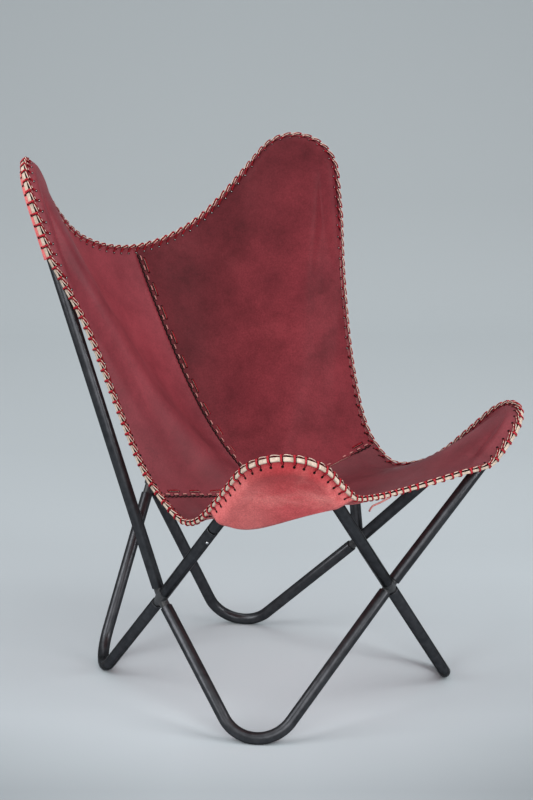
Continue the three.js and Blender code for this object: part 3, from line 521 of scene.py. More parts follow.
def cross_fitting(origin, key, name, material):
    """Stubs that enter the four tubes and one full-width arm, blended into one casting."""
    made = Builder()
    for k, direction in enumerate(arms[key]):
        stub = rod(origin, origin + direction * (mouth[key] + STUB_DEPTH), SLIP_RADIUS)
        made.add(stub.points, stub.faces)
        if k == 0:
            arm = rod(origin - direction * TUBE_RADIUS * ARM_ROOT_SHARE,
                      origin + direction * (mouth[key] - MOUTH_CLEARANCE), TUBE_RADIUS)
            made.add(arm.points, arm.faces)
    rough = made.piece(name + "_rough", [])
    remesh = rough.modifiers.new("blend", "REMESH")
    remesh.mode = "VOXEL"
    remesh.voxel_size = FITTING_VOXEL
    smooth = rough.modifiers.new("ease", "SMOOTH")
    smooth.factor = FITTING_EASE
    smooth.iterations = FITTING_EASE_TURNS
    blended = rough.evaluated_get(bpy.context.evaluated_depsgraph_get())
    shaped = bpy.data.meshes.new_from_object(blended)
    bpy.data.objects.remove(rough)
    shaped.materials.append(material)
    shaped.polygons.foreach_set("use_smooth", np.full(len(shaped.polygons), True))
    piece = bpy.data.objects.new(name, shaped)
    bpy.context.scene.collection.objects.link(piece)
    return piece


# Materials

def srgb(red, green, blue):
    """Linear colour from the values a photograph shows, 0 to 255."""
    def linear(value):
        share = value / 255
        return share / 12.92 if share <= 0.04045 else ((share + 0.055) / 1.055) ** 2.4
    return (linear(red), linear(green), linear(blue), 1.0)


def shades(*stops):
    """Stops of a colour ramp: a place, then the red, green and blue that a photograph shows."""
    return [(place, srgb(*colour)) for place, *colour in stops]


class Paint:
    """A node material with short calls for noise, ramps and bump."""

    def __init__(self, name, roughness, metallic=0.0, specular=0.5):
        self.material = bpy.data.materials.new(name)
        self.material.use_nodes = True
        self.tree = self.material.node_tree
        self.shader = self.tree.nodes["Principled BSDF"]
        self.set(self.shader, Roughness=roughness, Metallic=metallic, Specular_IOR_Level=specular)
        self.place = self.node("TexCoord").outputs["Object"]

    def set(self, node, **values):
        """Sets inputs of a node; an underscore stands for a space in their names."""
        for name, value in values.items():
            node.inputs[name.replace("_", " ")].default_value = value

    def node(self, kind, **values):
        made = self.tree.nodes.new("ShaderNode" + kind)
        self.set(made, **values)
        return made

    def link(self, source, target):
        self.tree.links.new(source, target)

    def noise(self, scale, detail=3.0, roughness=0.5, distortion=0.0, stretch=None):
        node = self.node("TexNoise", Scale=scale, Detail=detail, Roughness=roughness, Distortion=distortion)
        place = self.place
        if stretch is not None:
            mapping = self.node("Mapping", Scale=stretch)
            self.link(self.place, mapping.inputs["Vector"])
            place = mapping.outputs["Vector"]
        self.link(place, node.inputs["Vector"])
        return node.outputs["Fac"]

    def cells(self, scale):
        node = self.node("TexVoronoi", Scale=scale)
        node.feature = "DISTANCE_TO_EDGE"
        self.link(self.place, node.inputs["Vector"])
        return node.outputs["Distance"]

    def ramp(self, source, stops):
        node = self.node("ValToRGB")
        elements = node.color_ramp.elements
        elements[0].position, elements[0].color = stops[0]
        elements[1].position, elements[1].color = stops[-1]
        for position, color in stops[1:-1]:
            elements.new(position).color = color
        self.link(source, node.inputs["Fac"])
        return node.outputs["Color"]

    def mix(self, first, second, share, mode="MIX"):
        """Two colours mixed by a share; the second and the share may be fixed values."""
        node = self.node("Mix")
        node.data_type = "RGBA"
        node.blend_type = mode
        sockets = [s for s in node.inputs if s.type == "RGBA"]
        self.link(first, sockets[0])
        for value, socket in ((second, sockets[1]), (share, node.inputs["Factor"])):
            if isinstance(value, (tuple, float)):
                socket.default_value = value
            else:
                self.link(value, socket)
        return [s for s in node.outputs if s.type == "RGBA"][0]

    def along(self, direction, low, high):
        """Share of the way between two distances along a direction."""
        dot = self.node("VectorMath")
        dot.operation = "DOT_PRODUCT"
        dot.inputs[1].default_value = tuple(direction)
        self.link(self.place, dot.inputs[0])
        node = self.node("MapRange", From_Min=low, From_Max=high)
        self.link(dot.outputs["Value"], node.inputs["Value"])
        return node.outputs["Result"]

    def tones(self, direction, stops):
        """Grey tones given at distances along a direction."""
        low, high = stops[0][0], stops[-1][0]
        return self.ramp(self.along(direction, low, high), [
            ((place - low) / (high - low), (tone, tone, tone, 1.0)) for place, tone in stops])

    def scaled(self, source, low, high):
        node = self.node("MapRange", To_Min=low, To_Max=high)
        self.link(source, node.inputs["Value"])
        return node.outputs["Result"]

    def colour(self, source):
        self.link(source, self.shader.inputs["Base Color"])

    def roughness(self, source, low, high):
        self.link(self.scaled(source, low, high), self.shader.inputs["Roughness"])

    def bump(self, *layers):
        """Layers of height source, strength and depth, one bump on the next."""
        normal = None
        for source, strength, depth in layers:
            node = self.node("Bump", Strength=strength, Distance=depth)
            self.link(source, node.inputs["Height"])
            if normal is not None:
                self.link(normal, node.inputs["Normal"])
            normal = node.outputs["Normal"]
        self.link(normal, self.shader.inputs["Normal"])


def satin_black():
    """Satin black coat: mostly a dark even reflection, so that the tube's sides stay black."""
    paint = Paint("satin_black_coat", 0.3, metallic=0.8)
    paint.colour(paint.ramp(paint.noise(70, 4, 0.6), shades((0.3, 56, 57, 60), (0.7, 74, 75, 78))))
    paint.set(paint.shader, Specular_Tint=srgb(120, 121, 124))
    paint.roughness(paint.noise(240, 4), 0.26, 0.35)
    paint.bump((paint.noise(1100, 3), 0.09, 0.0005), (paint.noise(120, 3), 0.03, 0.001))
    return paint.material


def fitting_grey():
    paint = Paint("fitting_grey_coat", 0.42)
    paint.colour(paint.ramp(paint.noise(90, 4), shades((0.3, 36, 37, 39), (0.7, 50, 51, 53))))
    paint.roughness(paint.noise(300, 4), 0.34, 0.52)
    paint.bump((paint.noise(500, 4), 0.25, 0.0006))
    return paint.material


def bright_steel(name, red, green, blue, rough):
    paint = Paint(name, rough, metallic=1.0)
    darker = (red - STEEL_SHADE, green - STEEL_SHADE, blue - STEEL_SHADE)
    paint.colour(paint.ramp(paint.noise(400, 3), shades((0.3, *darker), (0.7, red, green, blue))))
    paint.roughness(paint.noise(900, 3), rough - 0.06, rough + 0.08)
    paint.bump((paint.noise(1500, 2), 0.08, 0.0003))
    return paint.material


def leather_grain(name, direction, shade_and_dye, pink, blotches, gloss):
    """Oxblood leather, grain side: cloudy dyeing, darkened along a direction by painted shade and dyeing,
    patches and fine pores.
    """
    paint = Paint(name, 0.55, specular=gloss)
    # pink lifts green and blue of the clouds: partly the leather's hue and partly painted sheen
    clouds = paint.ramp(paint.noise(5.5, 5, 0.62, 0.4), shades(*(
        (place, red, green + pink, blue + pink) for place, red, green, blue in LEATHER_CLOUDS)))
    patches = paint.ramp(paint.noise(14, 9, 0.72, 0.15), shades(
        (0.30, 158, 130, 134), (0.44, 214, 202, 206), (0.60, 255, 255, 255)))
    dyed_and_shaded = paint.mix(clouds, patches, blotches, "MULTIPLY")
    dyed_and_shaded = paint.mix(dyed_and_shaded, paint.tones(direction, shade_and_dye), 1.0, "MULTIPLY")
    fibre = paint.ramp(paint.noise(330, 5, 0.75), shades((0.28, 170, 156, 156), (0.68, 255, 255, 255)))
    paint.colour(paint.mix(dyed_and_shaded, fibre, 0.65, "MULTIPLY"))
    paint.roughness(paint.noise(40, 5, 0.6), 0.42, 0.62)
    folds, pores, fine = paint.noise(26, 5, 0.6), paint.cells(900), paint.noise(700, 4, 0.7)
    paint.bump((folds, 0.16, 0.003), (pores, 0.2, 0.0006), (fine, 0.25, 0.0006))
    return paint.material


def leather_flesh():
    """Flesh side of the same leather: pale pink-red suede with a mottled nap."""
    paint = Paint("suede_flesh_side", 0.92, specular=0.2)
    clouds = paint.ramp(paint.noise(11, 5, 0.65, 0.5), shades(
        (0.30, 208, 78, 82), (0.5, 234, 101, 104), (0.72, 255, 150, 144)))
    # Painted light: the flesh side turns paler at the low end of a stretch along the front, and a little at
    # its high end
    clouds = paint.mix(clouds, srgb(255, 158, 152), paint.tones(ALONG_FRONT, FLESH_PAINTED_LIGHT))
    # A darker band of the flesh side between two heights
    dark_band = paint.ramp(paint.along(UP, *FLESH_DARK_BAND), shades(
        (0.0, 255, 255, 255), (0.2, 206, 178, 182), (0.5, 206, 178, 182), (1.0, 255, 255, 255)))
    nap = paint.ramp(paint.noise(420, 4, 0.7), shades((0.30, 186, 160, 162), (0.66, 255, 255, 255)))
    streaks = paint.ramp(paint.noise(60, 4, 0.6, 0.4, (1.0, 1.0, 0.25)), shades(
        (0.35, 228, 214, 214), (0.6, 255, 255, 255)))
    for layer, share in ((dark_band, 1.0), (nap, 0.7), (streaks, 0.6)):
        clouds = paint.mix(clouds, layer, share, "MULTIPLY")
    paint.colour(clouds)
    paint.bump((paint.noise(500, 5, 0.7), 0.35, 0.0008), (paint.noise(30, 4), 0.12, 0.002))
    paint.set(paint.shader, Sheen_Weight=0.15, Sheen_Roughness=0.6, Sheen_Tint=srgb(245, 190, 190))
    return paint.material


def mottled(name, roughness, specular, mottle, stops, bump=None):
    """A plain dull material: one noise spreads its colours, and another gives a fine bump where asked."""
    paint = Paint(name, roughness, specular=specular)
    paint.colour(paint.ramp(paint.noise(*mottle), shades(*stops)))
    if bump is not None:
        scale, detail, strength, depth = bump
        paint.bump((paint.noise(scale, detail), strength, depth))
    return paint.material


def raw_edge():
    """Cut edge of the leather: undyed cream fibre."""
    cream = [(0.3, 160, 142, 127), (0.5, 190, 171, 155), (0.7, 210, 194, 178)]
    return mottled("raw_cut_edge", 0.85, 0.3, (160, 5, 0.65), cream, (700, 4, 0.4, 0.0006))


def lace_red():
    reds = [(0.3, 128, 17, 29), (0.55, 160, 28, 40), (0.75, 182, 48, 58)]
    return mottled("red_lace", 0.62, 0.2, (140, 4, 0.6), reds, LACE_BUMP)


# A darker copy of the red lace: on the inner links partly painted shade, partly the lace's own deeper red;
# the seam's long dashes use it too
def lace_deep():
    reds = [(0.3, 82, 6, 14), (0.55, 112, 11, 21), (0.75, 138, 22, 31)]
    return mottled("deep_red_lace", 0.65, 0.1, (140, 4, 0.6), reds, LACE_BUMP)


def lace_pale():
    creams = [(0.3, 176, 146, 132), (0.7, 214, 192, 178)]
    return mottled("pale_lace_side", 0.8, 0.3, (200, 4, 0.6), creams, LACE_BUMP)


def lace_pink():
    pinks = [(0.3, 146, 76, 76), (0.7, 186, 122, 116)]
    return mottled("pink_lace", 0.7, 0.3, (200, 4, 0.6), pinks, LACE_BUMP)


# Painted shade: a dark disc for each punched hole, and the dark ring round each button's hole
def painted_hole_shade():
    return mottled("punched_hole_shade", 0.9, 0.1, (600, 2), [(0.3, 14, 8, 8), (0.7, 30, 16, 16)])


# Painted glint: a pale disc in a hole, standing for light seen through it
def light_through_hole():
    whites = [(0.3, 190, 186, 184), (0.7, 232, 228, 226)]
    return mottled("light_through_hole", 0.9, 0.1, (900, 2), whites)


BLACK = satin_black()
GREY = fitting_grey()
BUTTON = bright_steel("bright_button", 205, 207, 210, 0.28)
SPRING = bright_steel("spring_steel", 150, 152, 156, 0.4)
# Each grain leather darkens along its direction by its own ramp of painted shade and dyeing
GRAIN = leather_grain("oxblood_leather", UP, RIGHT_SHADE_AND_DYE, 14, 0.45, 0.24)
DARK_GRAIN = leather_grain("dark_oxblood_leather", TOWARD_SEAM, LEFT_SHADE_AND_DYE, 9, 0.62, 0.12)
SEAT_GRAIN = leather_grain("seat_oxblood_leather", UP, SEAT_SHADE_AND_DYE, 15, 0.5, 0.26)
FLESH = leather_flesh()
RAW = raw_edge()
RED = lace_red()
PALE = lace_pale()
HOLE_SHADE = painted_hole_shade()
GLINT = light_through_hole()
PINK = lace_pink()
DEEP = lace_deep()

# Frame pieces

def both_sides(node, material, slot, right, left=None, bodies=(BODY, BODY)):
    """A piece on the right, and on the left the mirror image of its own builder or of the right one."""
    pair = (right, (left or right).mirrored())
    for side, made, body in zip(SIDES, pair, bodies):
        settle(made.piece(f"fine_{node}_{side}", [material]), [f"{node}_{side}"], body)


for end, path in (("front", front_foot), ("rear", rear_foot)):
    both_sides(f"foot_bow_{end}", BLACK, "tube_black", foot_bow(path, end))
for key in LEGS:
    both_sides(f"leg_{key}", BLACK, "tube_black", upper_leg(key))
for end, paths in (("front", front_tips.values()), ("rear", (rear_tip, rear_tip))):
    bows = [top_bow(path, LEG_LENGTH[end + "_side"], LEG_LENGTH[end + "_cross"]) for path in paths]
    both_sides(f"top_bow_{end}", BLACK, "tube_black", *bows)

arms["left"] = [arm * MIRROR for arm in arms["right"]]
mouth["left"] = mouth["right"]
crossings = {"right": SIDE_CROSSING, "front": FRONT_CROSSING, "rear": REAR_CROSSING,
             "left": SIDE_CROSSING * MIRROR}
for key, origin in crossings.items():
    piece = cross_fitting(origin, key, f"fine_cross_fitting_{key}", GREY)
    settle(piece, [f"cross_fitting_{key}"])


# Snap buttons: a domed stem with a flange, and a dark rim of painted shade round its hole

def snap_button(key):
    """Builders of the button in a leg and of the rim of its hole."""
    path, origin, _ = LEGS[key]
    direction = unit(path.apex - origin)
    point = origin + direction * (LEG_LENGTH[key] - BUTTON_FROM_LEG_END)
    outward = -path.inward
    low, high = BUTTON_FLANGE_LEVELS
    rings = [(low, BUTTON_FLANGE_RADIUS), (high, BUTTON_FLANGE_RADIUS), (high, BUTTON_RADIUS)]
    for k in range(BUTTON_DOME_STEPS):
        angle = math.pi / 2 * k / (BUTTON_DOME_STEPS - 0.5)
        height = TUBE_RADIUS + BUTTON_PROUD - BUTTON_DOME * (1 - math.sin(angle))
        rings.append((height, BUTTON_RADIUS * math.cos(angle)))
    button = tube_builder(stations_along(point, outward, rings), direction)
    rings = []
    for k in range(HOLE_RIM_STEPS + 1):
        angle = 2 * math.pi * k / HOLE_RIM_STEPS
        height = TUBE_RADIUS - HOLE_RIM_DEPTH + HOLE_RIM_HALF * math.sin(angle)
        radius = BUTTON_RADIUS + HOLE_RIM_STANDOFF + HOLE_RIM_HALF * math.cos(angle)
        rings.append((height, radius))
    rim = Builder()
    rim_points = round_rings(stations_along(point, outward, rings), direction, TUBE_SIDES)
    rim.add(rim_points, ring_faces(len(rings), TUBE_SIDES, False))
    return button, rim


for end, key in (("front", "front_side"), ("rear", "rear_cross")):
    button, rim = snap_button(key)
    bodies = [f"{end}_{side}_button" for side in SIDES]
    both_sides(f"snap_button_{end}", BUTTON, "button_steel", button, bodies=bodies)
    for side, made in zip(SIDES, (rim, rim.mirrored())):
        piece = made.piece(f"button_hole_rim_{end}_{side}", [HOLE_SHADE])
        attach(piece, BODY)
        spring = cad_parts[f"button_spring_{end}_{side}"]
        spring.data.materials.clear()
        spring.data.materials.append(SPRING)


# Sling setting-out

def crest_samples(path, reach, rim, steps):
    """Axis points along a top bow between a pocket's lower corners, each with the rim's place from there."""
    half_arc = path.radius * path.sweep / 2
    end_cosine = math.cos(path.sweep / 2)
    samples = []
    for k in range(steps + 1):
        travel = between((-reach[0], reach[1]), k / steps)
        share = (travel + half_arc) / (2 * half_arc)
        held = min(max(share, 0.0), 1.0)
        point = path.arc(held)
        if share < 0:
            point = point + path.first * (-half_arc - travel)
        if share > 1:
            point = point + path.second * (travel - half_arc)
        beyond = max(travel - half_arc, 0) / max(reach[1] - half_arc, 0.001)
        crown = (math.cos((held - 0.5) * path.sweep) - end_cosine) / (1 - end_cosine)
        standoff = between(rim["standoff"], ease(held)) + rim["crown"] * crown + rim["flare"] * beyond
        faded = 1 - (1 - k / steps) ** 2 if rim["fade"] == "run" else ease(held)
        samples.append((point, path.spoke(held), path.inward, standoff, between(rim["lift"], faded)))
    return samples


def crest_band(sample, layer, clear, side):
    """Leather from its laced edge over the round of the tube, as points evenly apart."""
    point, spoke, inward, standoff, lift = sample
    layer = layer + lift * side
    turn = math.atan2(layer, standoff) + math.acos(min(clear / math.hypot(standoff, layer), 1.0))
    line = [(standoff, layer)]
    for k in range(ROUND_STEPS + 1):
        angle = turn + (math.pi / 2 - turn) * k / ROUND_STEPS
        line.append((clear * math.cos(angle), clear * math.sin(angle)))
    line.append((-EDGE_BAND, clear))
    line = np.array(line)
    run = run_along(line)
    out, rise = read_at(np.linspace(0, run[-1], BAND_ROWS), run, line).T
    return point + np.outer(out, spoke) + np.outer(rise * side, inward)


def sag_power(point):
    sine = (point[1] - HUB[1]) / math.hypot(point[0] - HUB[0], point[1] - HUB[1])
    square = sine * sine
    if sine > 0:
        return between((SAG_POWER["side"], SAG_POWER["back"]), square)
    corner = SAG_POWER["front_corner"] * 4 * square * (1 - square)
    return between((SAG_POWER["side"], SAG_POWER["front"]), square) + corner


def hanging(outer, shares):
    points = HUB + np.outer(shares, outer - HUB)
    points[:, 2] = HUB[2] + (outer[2] - HUB[2]) * shares ** sag_power(outer)
    return points


def free_band(edge):
    reach = np.linalg.norm(edge - HUB)
    return hanging(edge, 1 - np.linspace(0, FREE_BAND, BAND_ROWS) / reach)


def smooth_curve(points, place):
    """Centripetal curve through points; place counts in points from the first."""
    points = np.asarray(points)
    points = np.vstack([2 * points[0] - points[1], points, 2 * points[-1] - points[-2]])
    k = min(int(place), len(points) - 4)
    p0, p1, p2, p3 = points[k:k + 4]
    d0, d1, d2 = (math.sqrt(np.linalg.norm(b - a)) for a, b in ((p0, p1), (p1, p2), (p2, p3)))
    start = ((p1 - p0) / d0 - (p2 - p0) / (d0 + d1) + (p2 - p1) / d1) * d1
    end = ((p2 - p1) / d1 - (p3 - p1) / (d1 + d2) + (p3 - p2) / d2) * d1
    t = place - k
    return (p1 + start * t + (3 * (p2 - p1) - 2 * start - end) * t ** 2
            + (2 * (p1 - p2) + start + end) * t ** 3)


def free_edge(before, points, after, steps):
    first, last = len(before) - 1, len(before) + len(points)
    line = [*before, *points, *after]
    return [smooth_curve(line, first + (last - first) * k / steps) for k in range(steps + 1)]


PANEL_CLEAR = TUBE_RADIUS + PANEL_THICKNESS / 2 + LEATHER_GAP
POCKET_CLEAR = TUBE_RADIUS + POCKET_THICKNESS / 2 + LEATHER_GAP
PANEL_LAYER = (PANEL_THICKNESS + LAYER_GAP) / 2
POCKET_LAYER = (POCKET_THICKNESS + LAYER_GAP) / 2
steps = {key: count * FINE for key, count in RIM_STEPS.items()}


def free_bands(edges, before=None, after=None):
    """Bands along a free edge; next to a crest they turn out of the crest's shape within a few columns."""
    bands = [free_band(p) for p in edges]
    for k, edge in enumerate(edges):
        for crest, away in ((before, k), (after, len(edges) - 1 - k)):
            if crest is not None and away < BRIDGE:
                bands[k] = between((crest + edge - crest[0], bands[k]), ease(away / BRIDGE))
    return bands


class HalfSling:
    """Half of the sling, as on the sitter's right: crests, and bands from mid back to mid front."""

    def __init__(self, side):
        self.rear = crest_samples(rear_tip, POCKET_REACH["rear"], REAR_RIM, steps["rear_crest"])[::-1]
        self.front = crest_samples(front_tips[side], POCKET_REACH["front_" + side], FRONT_RIM[side],
                                   steps["front_crest"])
        rear_bands = [crest_band(s, PANEL_LAYER, PANEL_CLEAR, 1) for s in self.rear]
        front_bands = [crest_band(s, PANEL_LAYER, PANEL_CLEAR, 1) for s in self.front]
        rear_edge = [b[0] for b in rear_bands]
        front_edge = [b[0] for b in front_bands]
        top = free_edge([BACK_TOP_QUARTER * MIRROR, BACK_TOP_MIDDLE], [BACK_TOP_QUARTER],
                        [rear_edge[0], rear_edge[FINE]], steps["top"])
        upper = free_edge([rear_edge[-1 - FINE], rear_edge[-1]], SIDE_EDGE_UPPER,
                          [SEAM_EDGE_END, SIDE_EDGE_LOWER[0]], steps["side_upper"])
        lower = free_edge([SIDE_EDGE_UPPER[-1], SEAM_EDGE_END], SIDE_EDGE_LOWER,
                          [front_edge[0], front_edge[FINE]], steps["side_lower"])
        front = free_edge([front_edge[-1 - FINE], front_edge[-1]], [FRONT_EDGE_QUARTER],
                          [FRONT_EDGE_MIDDLE, FRONT_EDGE_QUARTER * MIRROR], steps["front"])
        bands = (free_bands(top, after=rear_bands[0])[:-1] + rear_bands
                 + free_bands(upper, before=rear_bands[-1])[1:]
                 + free_bands(lower, after=front_bands[0])[1:-1] + front_bands
                 + free_bands(front, before=front_bands[-1])[1:])
        self.grid = np.array([np.vstack([b, hanging(b[-1], hang_shares)]) for b in bands])


hang_shares = np.linspace(1, HUB_SHARE, HANG_ROWS + 1)[1:]
halves = {side: HalfSling(side) for side in SIDES}
ring = np.concatenate([halves["right"].grid, (halves["left"].grid[1:-1] * MIRROR)[::-1]])
columns = len(ring)
SEAM_COLUMN = steps["top"] + steps["rear_crest"] + steps["side_upper"]
FRONT_CREST_COLUMN = SEAM_COLUMN + steps["side_lower"]
REAR_CROWN = steps["top"] + steps["rear_crest"] // 2
FRONT_CROWN = FRONT_CREST_COLUMN + steps["front_crest"] // 2


def evened(values, spread):
    """Evens out values round the closed ring; spread is in columns."""
    waves = np.fft.rfftfreq(len(values))
    damp = np.exp(-2 * (math.pi * spread * waves) ** 2)
    shape = (-1,) + (1,) * (values.ndim - 1)
    return np.fft.irfft(np.fft.rfft(values, axis=0) * damp.reshape(shape), n=len(values), axis=0)


seam_columns = (0, SEAM_COLUMN, columns - SEAM_COLUMN)
seam_lines = {k: ring[k].copy() for k in seam_columns}
for row, share in enumerate(hang_shares, BAND_ROWS):
    ring[:, row] = evened(ring[:, row], SMOOTHING * (1 - share) * columns)

# The seams keep their lines; the leather near them follows
around = np.arange(columns)
for k in seam_columns:
    away = np.minimum((around - k) % columns, (k - around) % columns)
    follow = np.exp(-(away / SEAM_HOLD) ** 2 / 2)
    ring += follow[:, None, None] * (seam_lines[k] - ring[k])[None]


def grid_normals(grid, closed):
    """Unit normals of a grid of points, columns by rows."""
    if closed:
        across = np.roll(grid, -1, axis=0) - np.roll(grid, 1, axis=0)
    else:
        across = np.gradient(grid, axis=0)
    down = np.gradient(grid, axis=1)
    return unit(np.cross(across, down) + 1e-12)


ring_normals = grid_normals(ring, True)
if np.mean(np.sum(ring_normals * (FOCUS - ring), axis=2)) < 0:
    ring_normals = -ring_normals

# Slack of the leather, none at the rim
row_share = np.concatenate([np.zeros(BAND_ROWS), 1 - hang_shares])
angle_of = 2 * math.pi * np.arange(columns) / columns
slack = 0
for turns, start, falls, top, share in SLACK_WAVES:
    around_ring = share * np.sin(turns * angle_of + start)
    slack = slack + around_ring[:, None] * np.sin(math.pi * row_share * falls + top)[None]
fade = np.clip(row_share * SLACK_FADE[0], 0, 1) * np.clip((1 - row_share) * SLACK_FADE[1], 0, 1)
ring = ring + ring_normals * (WAVE * slack * fade)[..., None]


def sheet_builder(grid, normals, thickness):
    """A closed sheet over a grid: face 0 along the normals, face 1 against them, rim 2."""
    width, height = grid.shape[:2]
    top = (grid + normals * thickness / 2).reshape(-1, 3)
    under = (grid - normals * thickness / 2).reshape(-1, 3)
    made = Builder()
    index = np.arange(width * height).reshape(width, height)
    a, b, c, d = index[:-1, :-1], index[1:, :-1], index[1:, 1:], index[:-1, 1:]
    quads = np.stack([a, b, c, d], axis=-1).reshape(-1, 4)
    first = quads[len(quads) // 2]
    corner = top[first]
    facing = np.dot(np.cross(corner[1] - corner[0], corner[2] - corner[0]), (top - under)[first[0]])
    if facing < 0:
        quads = quads[:, ::-1]
    lower = quads[:, ::-1] + width * height
    border = np.concatenate([index[:, 0], index[-1, 1:], index[-2::-1, -1], index[0, -2:0:-1]])
    following = np.roll(border, -1)
    sides = np.stack([border, border + width * height, following + width * height, following], axis=-1)
    if facing < 0:
        sides = sides[:, ::-1]
    made.points = np.vstack([top, under]).tolist()
    made.faces = np.concatenate([quads, lower, sides]).tolist()
    made.indices = [0] * len(quads) + [1] * len(lower) + [2] * len(sides)
    return made


right_columns = np.arange(SEAM_COLUMN + 1)
left_columns = np.arange(columns - SEAM_COLUMN, columns + 1) % columns
for side, sign, places, grain in (("right", -1, right_columns, GRAIN), ("left", 1, left_columns, DARK_GRAIN)):
    grid = ring[places] + np.array([sign * SEAM_GAP / 2, SEAM_GAP / 2, 0])
    made = sheet_builder(grid, ring_normals[places], PANEL_THICKNESS)
    piece = made.piece(f"leather_back_{side}", [grain, FLESH, RAW])
    settle(piece, [f"back_panel_{side}"])

seat_columns = np.arange(SEAM_COLUMN, columns - SEAM_COLUMN + 1)
seat = ring[seat_columns] + np.array([0, -SEAM_GAP / 2, 0])
made = sheet_builder(seat, ring_normals[seat_columns], PANEL_THICKNESS)
piece = made.piece("leather_seat", [SEAT_GRAIN, FLESH, RAW])
settle(piece, ["seat_panel"])


# Pockets: outside the bows, from the crest down to a free edge

def pocket_grid(samples, sweep):
    """Outer layer: from the rim round the outside of the bow to a free edge that leaves the bow squarely."""
    bands = np.array([crest_band(s, POCKET_LAYER, POCKET_CLEAR, -1) for s in samples])
    inner = bands[:, -1]
    share = np.linspace(0, 1, len(samples))
    leave, arrive = -samples[0][1] * sweep[0], samples[-1][1] * sweep[1]
    foot = np.array([inner[0] * (1 + 2 * t) * (1 - t) ** 2 + leave * t * (1 - t) ** 2
                     + inner[-1] * t * t * (3 - 2 * t) - arrive * t * t * (1 - t) for t in share])
    travel = np.linspace(0, 1, POCKET_ROWS + 1)[1:]
    hang = inner[:, None] + (foot - inner)[:, None] * travel[None, :, None]
    across = POCKET_BULGE * np.sin(math.pi * share)
    bulge = across[:, None] * np.sin(math.pi * travel * POCKET_BULGE_SHARE)[None]
    hang = hang - bulge[..., None] * samples[0][2]
    return np.concatenate([bands, hang], axis=1)


def outward_normals(grid, outward):
    normals = grid_normals(grid, False)
    return normals if np.mean(normals @ outward) > 0 else -normals


pocket_face = {}
for side, flip in zip(SIDES, (np.ones(3), MIRROR)):
    crests = (("front", halves[side].front), ("rear", halves[side].rear))
    for (end, samples), flat in zip(crests, (FRONT_POCKET_FLAT, REAR_POCKET_FLAT)):
        grid = pocket_grid(samples, POCKET_EDGE_SWEEP[end])
        normals = outward_normals(grid, -samples[0][2])
        outside = grid + normals * POCKET_THICKNESS / 2
        pocket_face[end, side] = outside[:, :BAND_ROWS] * flip
        made = sheet_builder(grid * flip, normals * flip, POCKET_THICKNESS)
        piece = made.piece(f"leather_pocket_{end}_{side}", [FLESH, GRAIN, RED])
        settle(piece, [f"pocket_{end}_{side}"])

# Rim of the sling: its two faces down to a small depth, and directions all along, for the lacing

FACE_DEPTHS = np.linspace(0, 0.016, 9)
OUTWARD_ROW = 4
FACING_ROW = 5
OUTER_SHARE = 0.6
RIM_EVENING = 4.0
OUTER_EVENING = 2.0


def by_depth(columns_of_points):
    """The first stretch of each column of points, evenly spaced by distance from the rim."""
    return np.array([read_at(FACE_DEPTHS, run_along(column), column) for column in columns_of_points])


band = ring[:, :BAND_ROWS]
band_normals = ring_normals[:, :BAND_ROWS]
outer_columns = band - band_normals * PANEL_THICKNESS / 2
for first, end in ((steps["top"], "rear"), (FRONT_CREST_COLUMN, "front")):
    for k in range(steps[end + "_crest"] + 1):
        outer_columns[first + k] = pocket_face[end, "right"][k]
        outer_columns[columns - first - k] = pocket_face[end, "left"][k]
inner_face = by_depth(band + band_normals * PANEL_THICKNESS / 2)
outer_face = evened(by_depth(outer_columns), OUTER_EVENING)
faces_of_rim = {"inner": (inner_face, 1), "outer": (outer_face, -1)}
rim_centre = (inner_face[:, 0] + outer_face[:, 0]) / 2
rim_along = unit(np.roll(rim_centre, -1, axis=0) - np.roll(rim_centre, 1, axis=0))


def square_to(values, *directions):
    for direction in directions:
        values = values - np.sum(values * direction, axis=1)[:, None] * direction
    return unit(values)


inner_out, outer_out = (unit(face[:, 0] - face[:, OUTWARD_ROW]) for face in (inner_face, outer_face))
through = inner_face[:, 0] - outer_face[:, 0]
rim_out = square_to(evened(inner_out + OUTER_SHARE * outer_out, RIM_EVENING), rim_along)
rim_in = square_to(evened(through, RIM_EVENING), rim_along, rim_out)
half_thick = evened(np.linalg.norm(through, axis=1) / 2, RIM_EVENING)
layered = np.clip((half_thick - PANEL_THICKNESS / 2) / POCKET_LAYER, 0, 1)
rim_run = run_along(np.vstack([rim_centre, rim_centre[:1]]))
RIM_LENGTH = rim_run[-1]


def at_rim(values, place):
    """Values round the rim at a place along it, in metres from the middle of the back's top edge."""
    column = np.interp(place % RIM_LENGTH, rim_run, np.arange(columns + 1))
    first = int(column) % columns
    share = column - int(column)
    return values[first] * (1 - share) + values[(first + 1) % columns] * share


class RimFrame:
    """Directions and leather faces at one place of the rim."""

    def __init__(self, place):
        self.place = place
        self.centre = at_rim(rim_centre, place)
        self.along = unit(at_rim(rim_along, place))
        self.out = unit(at_rim(rim_out, place))
        self.inward = unit(at_rim(rim_in, place))
        share = at_rim(layered, place)
        self.low = between(BAND_LOW, share)
        self.cream = between(CREAM_TOP, share)
        self.slot = between(SLOT_TOP, share)
        self.link = between(LINK_LEVEL, share)

    def point(self, out, lift):
        return self.centre + self.out * out + self.inward * lift


def on_face(name, place, depth, lift):
    """A point on the inner or outer face, that far from the rim and raised by lift; with its normal."""
    face, side = faces_of_rim[name]
    rows = at_rim(face, place)
    here = RimFrame(place)
    normal = np.cross(here.along, rows[0] - rows[FACING_ROW])
    normal = unit(normal) * np.sign(np.dot(normal, here.inward)) * side
    return read_at(depth, FACE_DEPTHS, rows) + normal * lift, normal


SECTION_SIDES = 8
SECTION_SQUARENESS = 0.6
HOLE_SIDES = 12


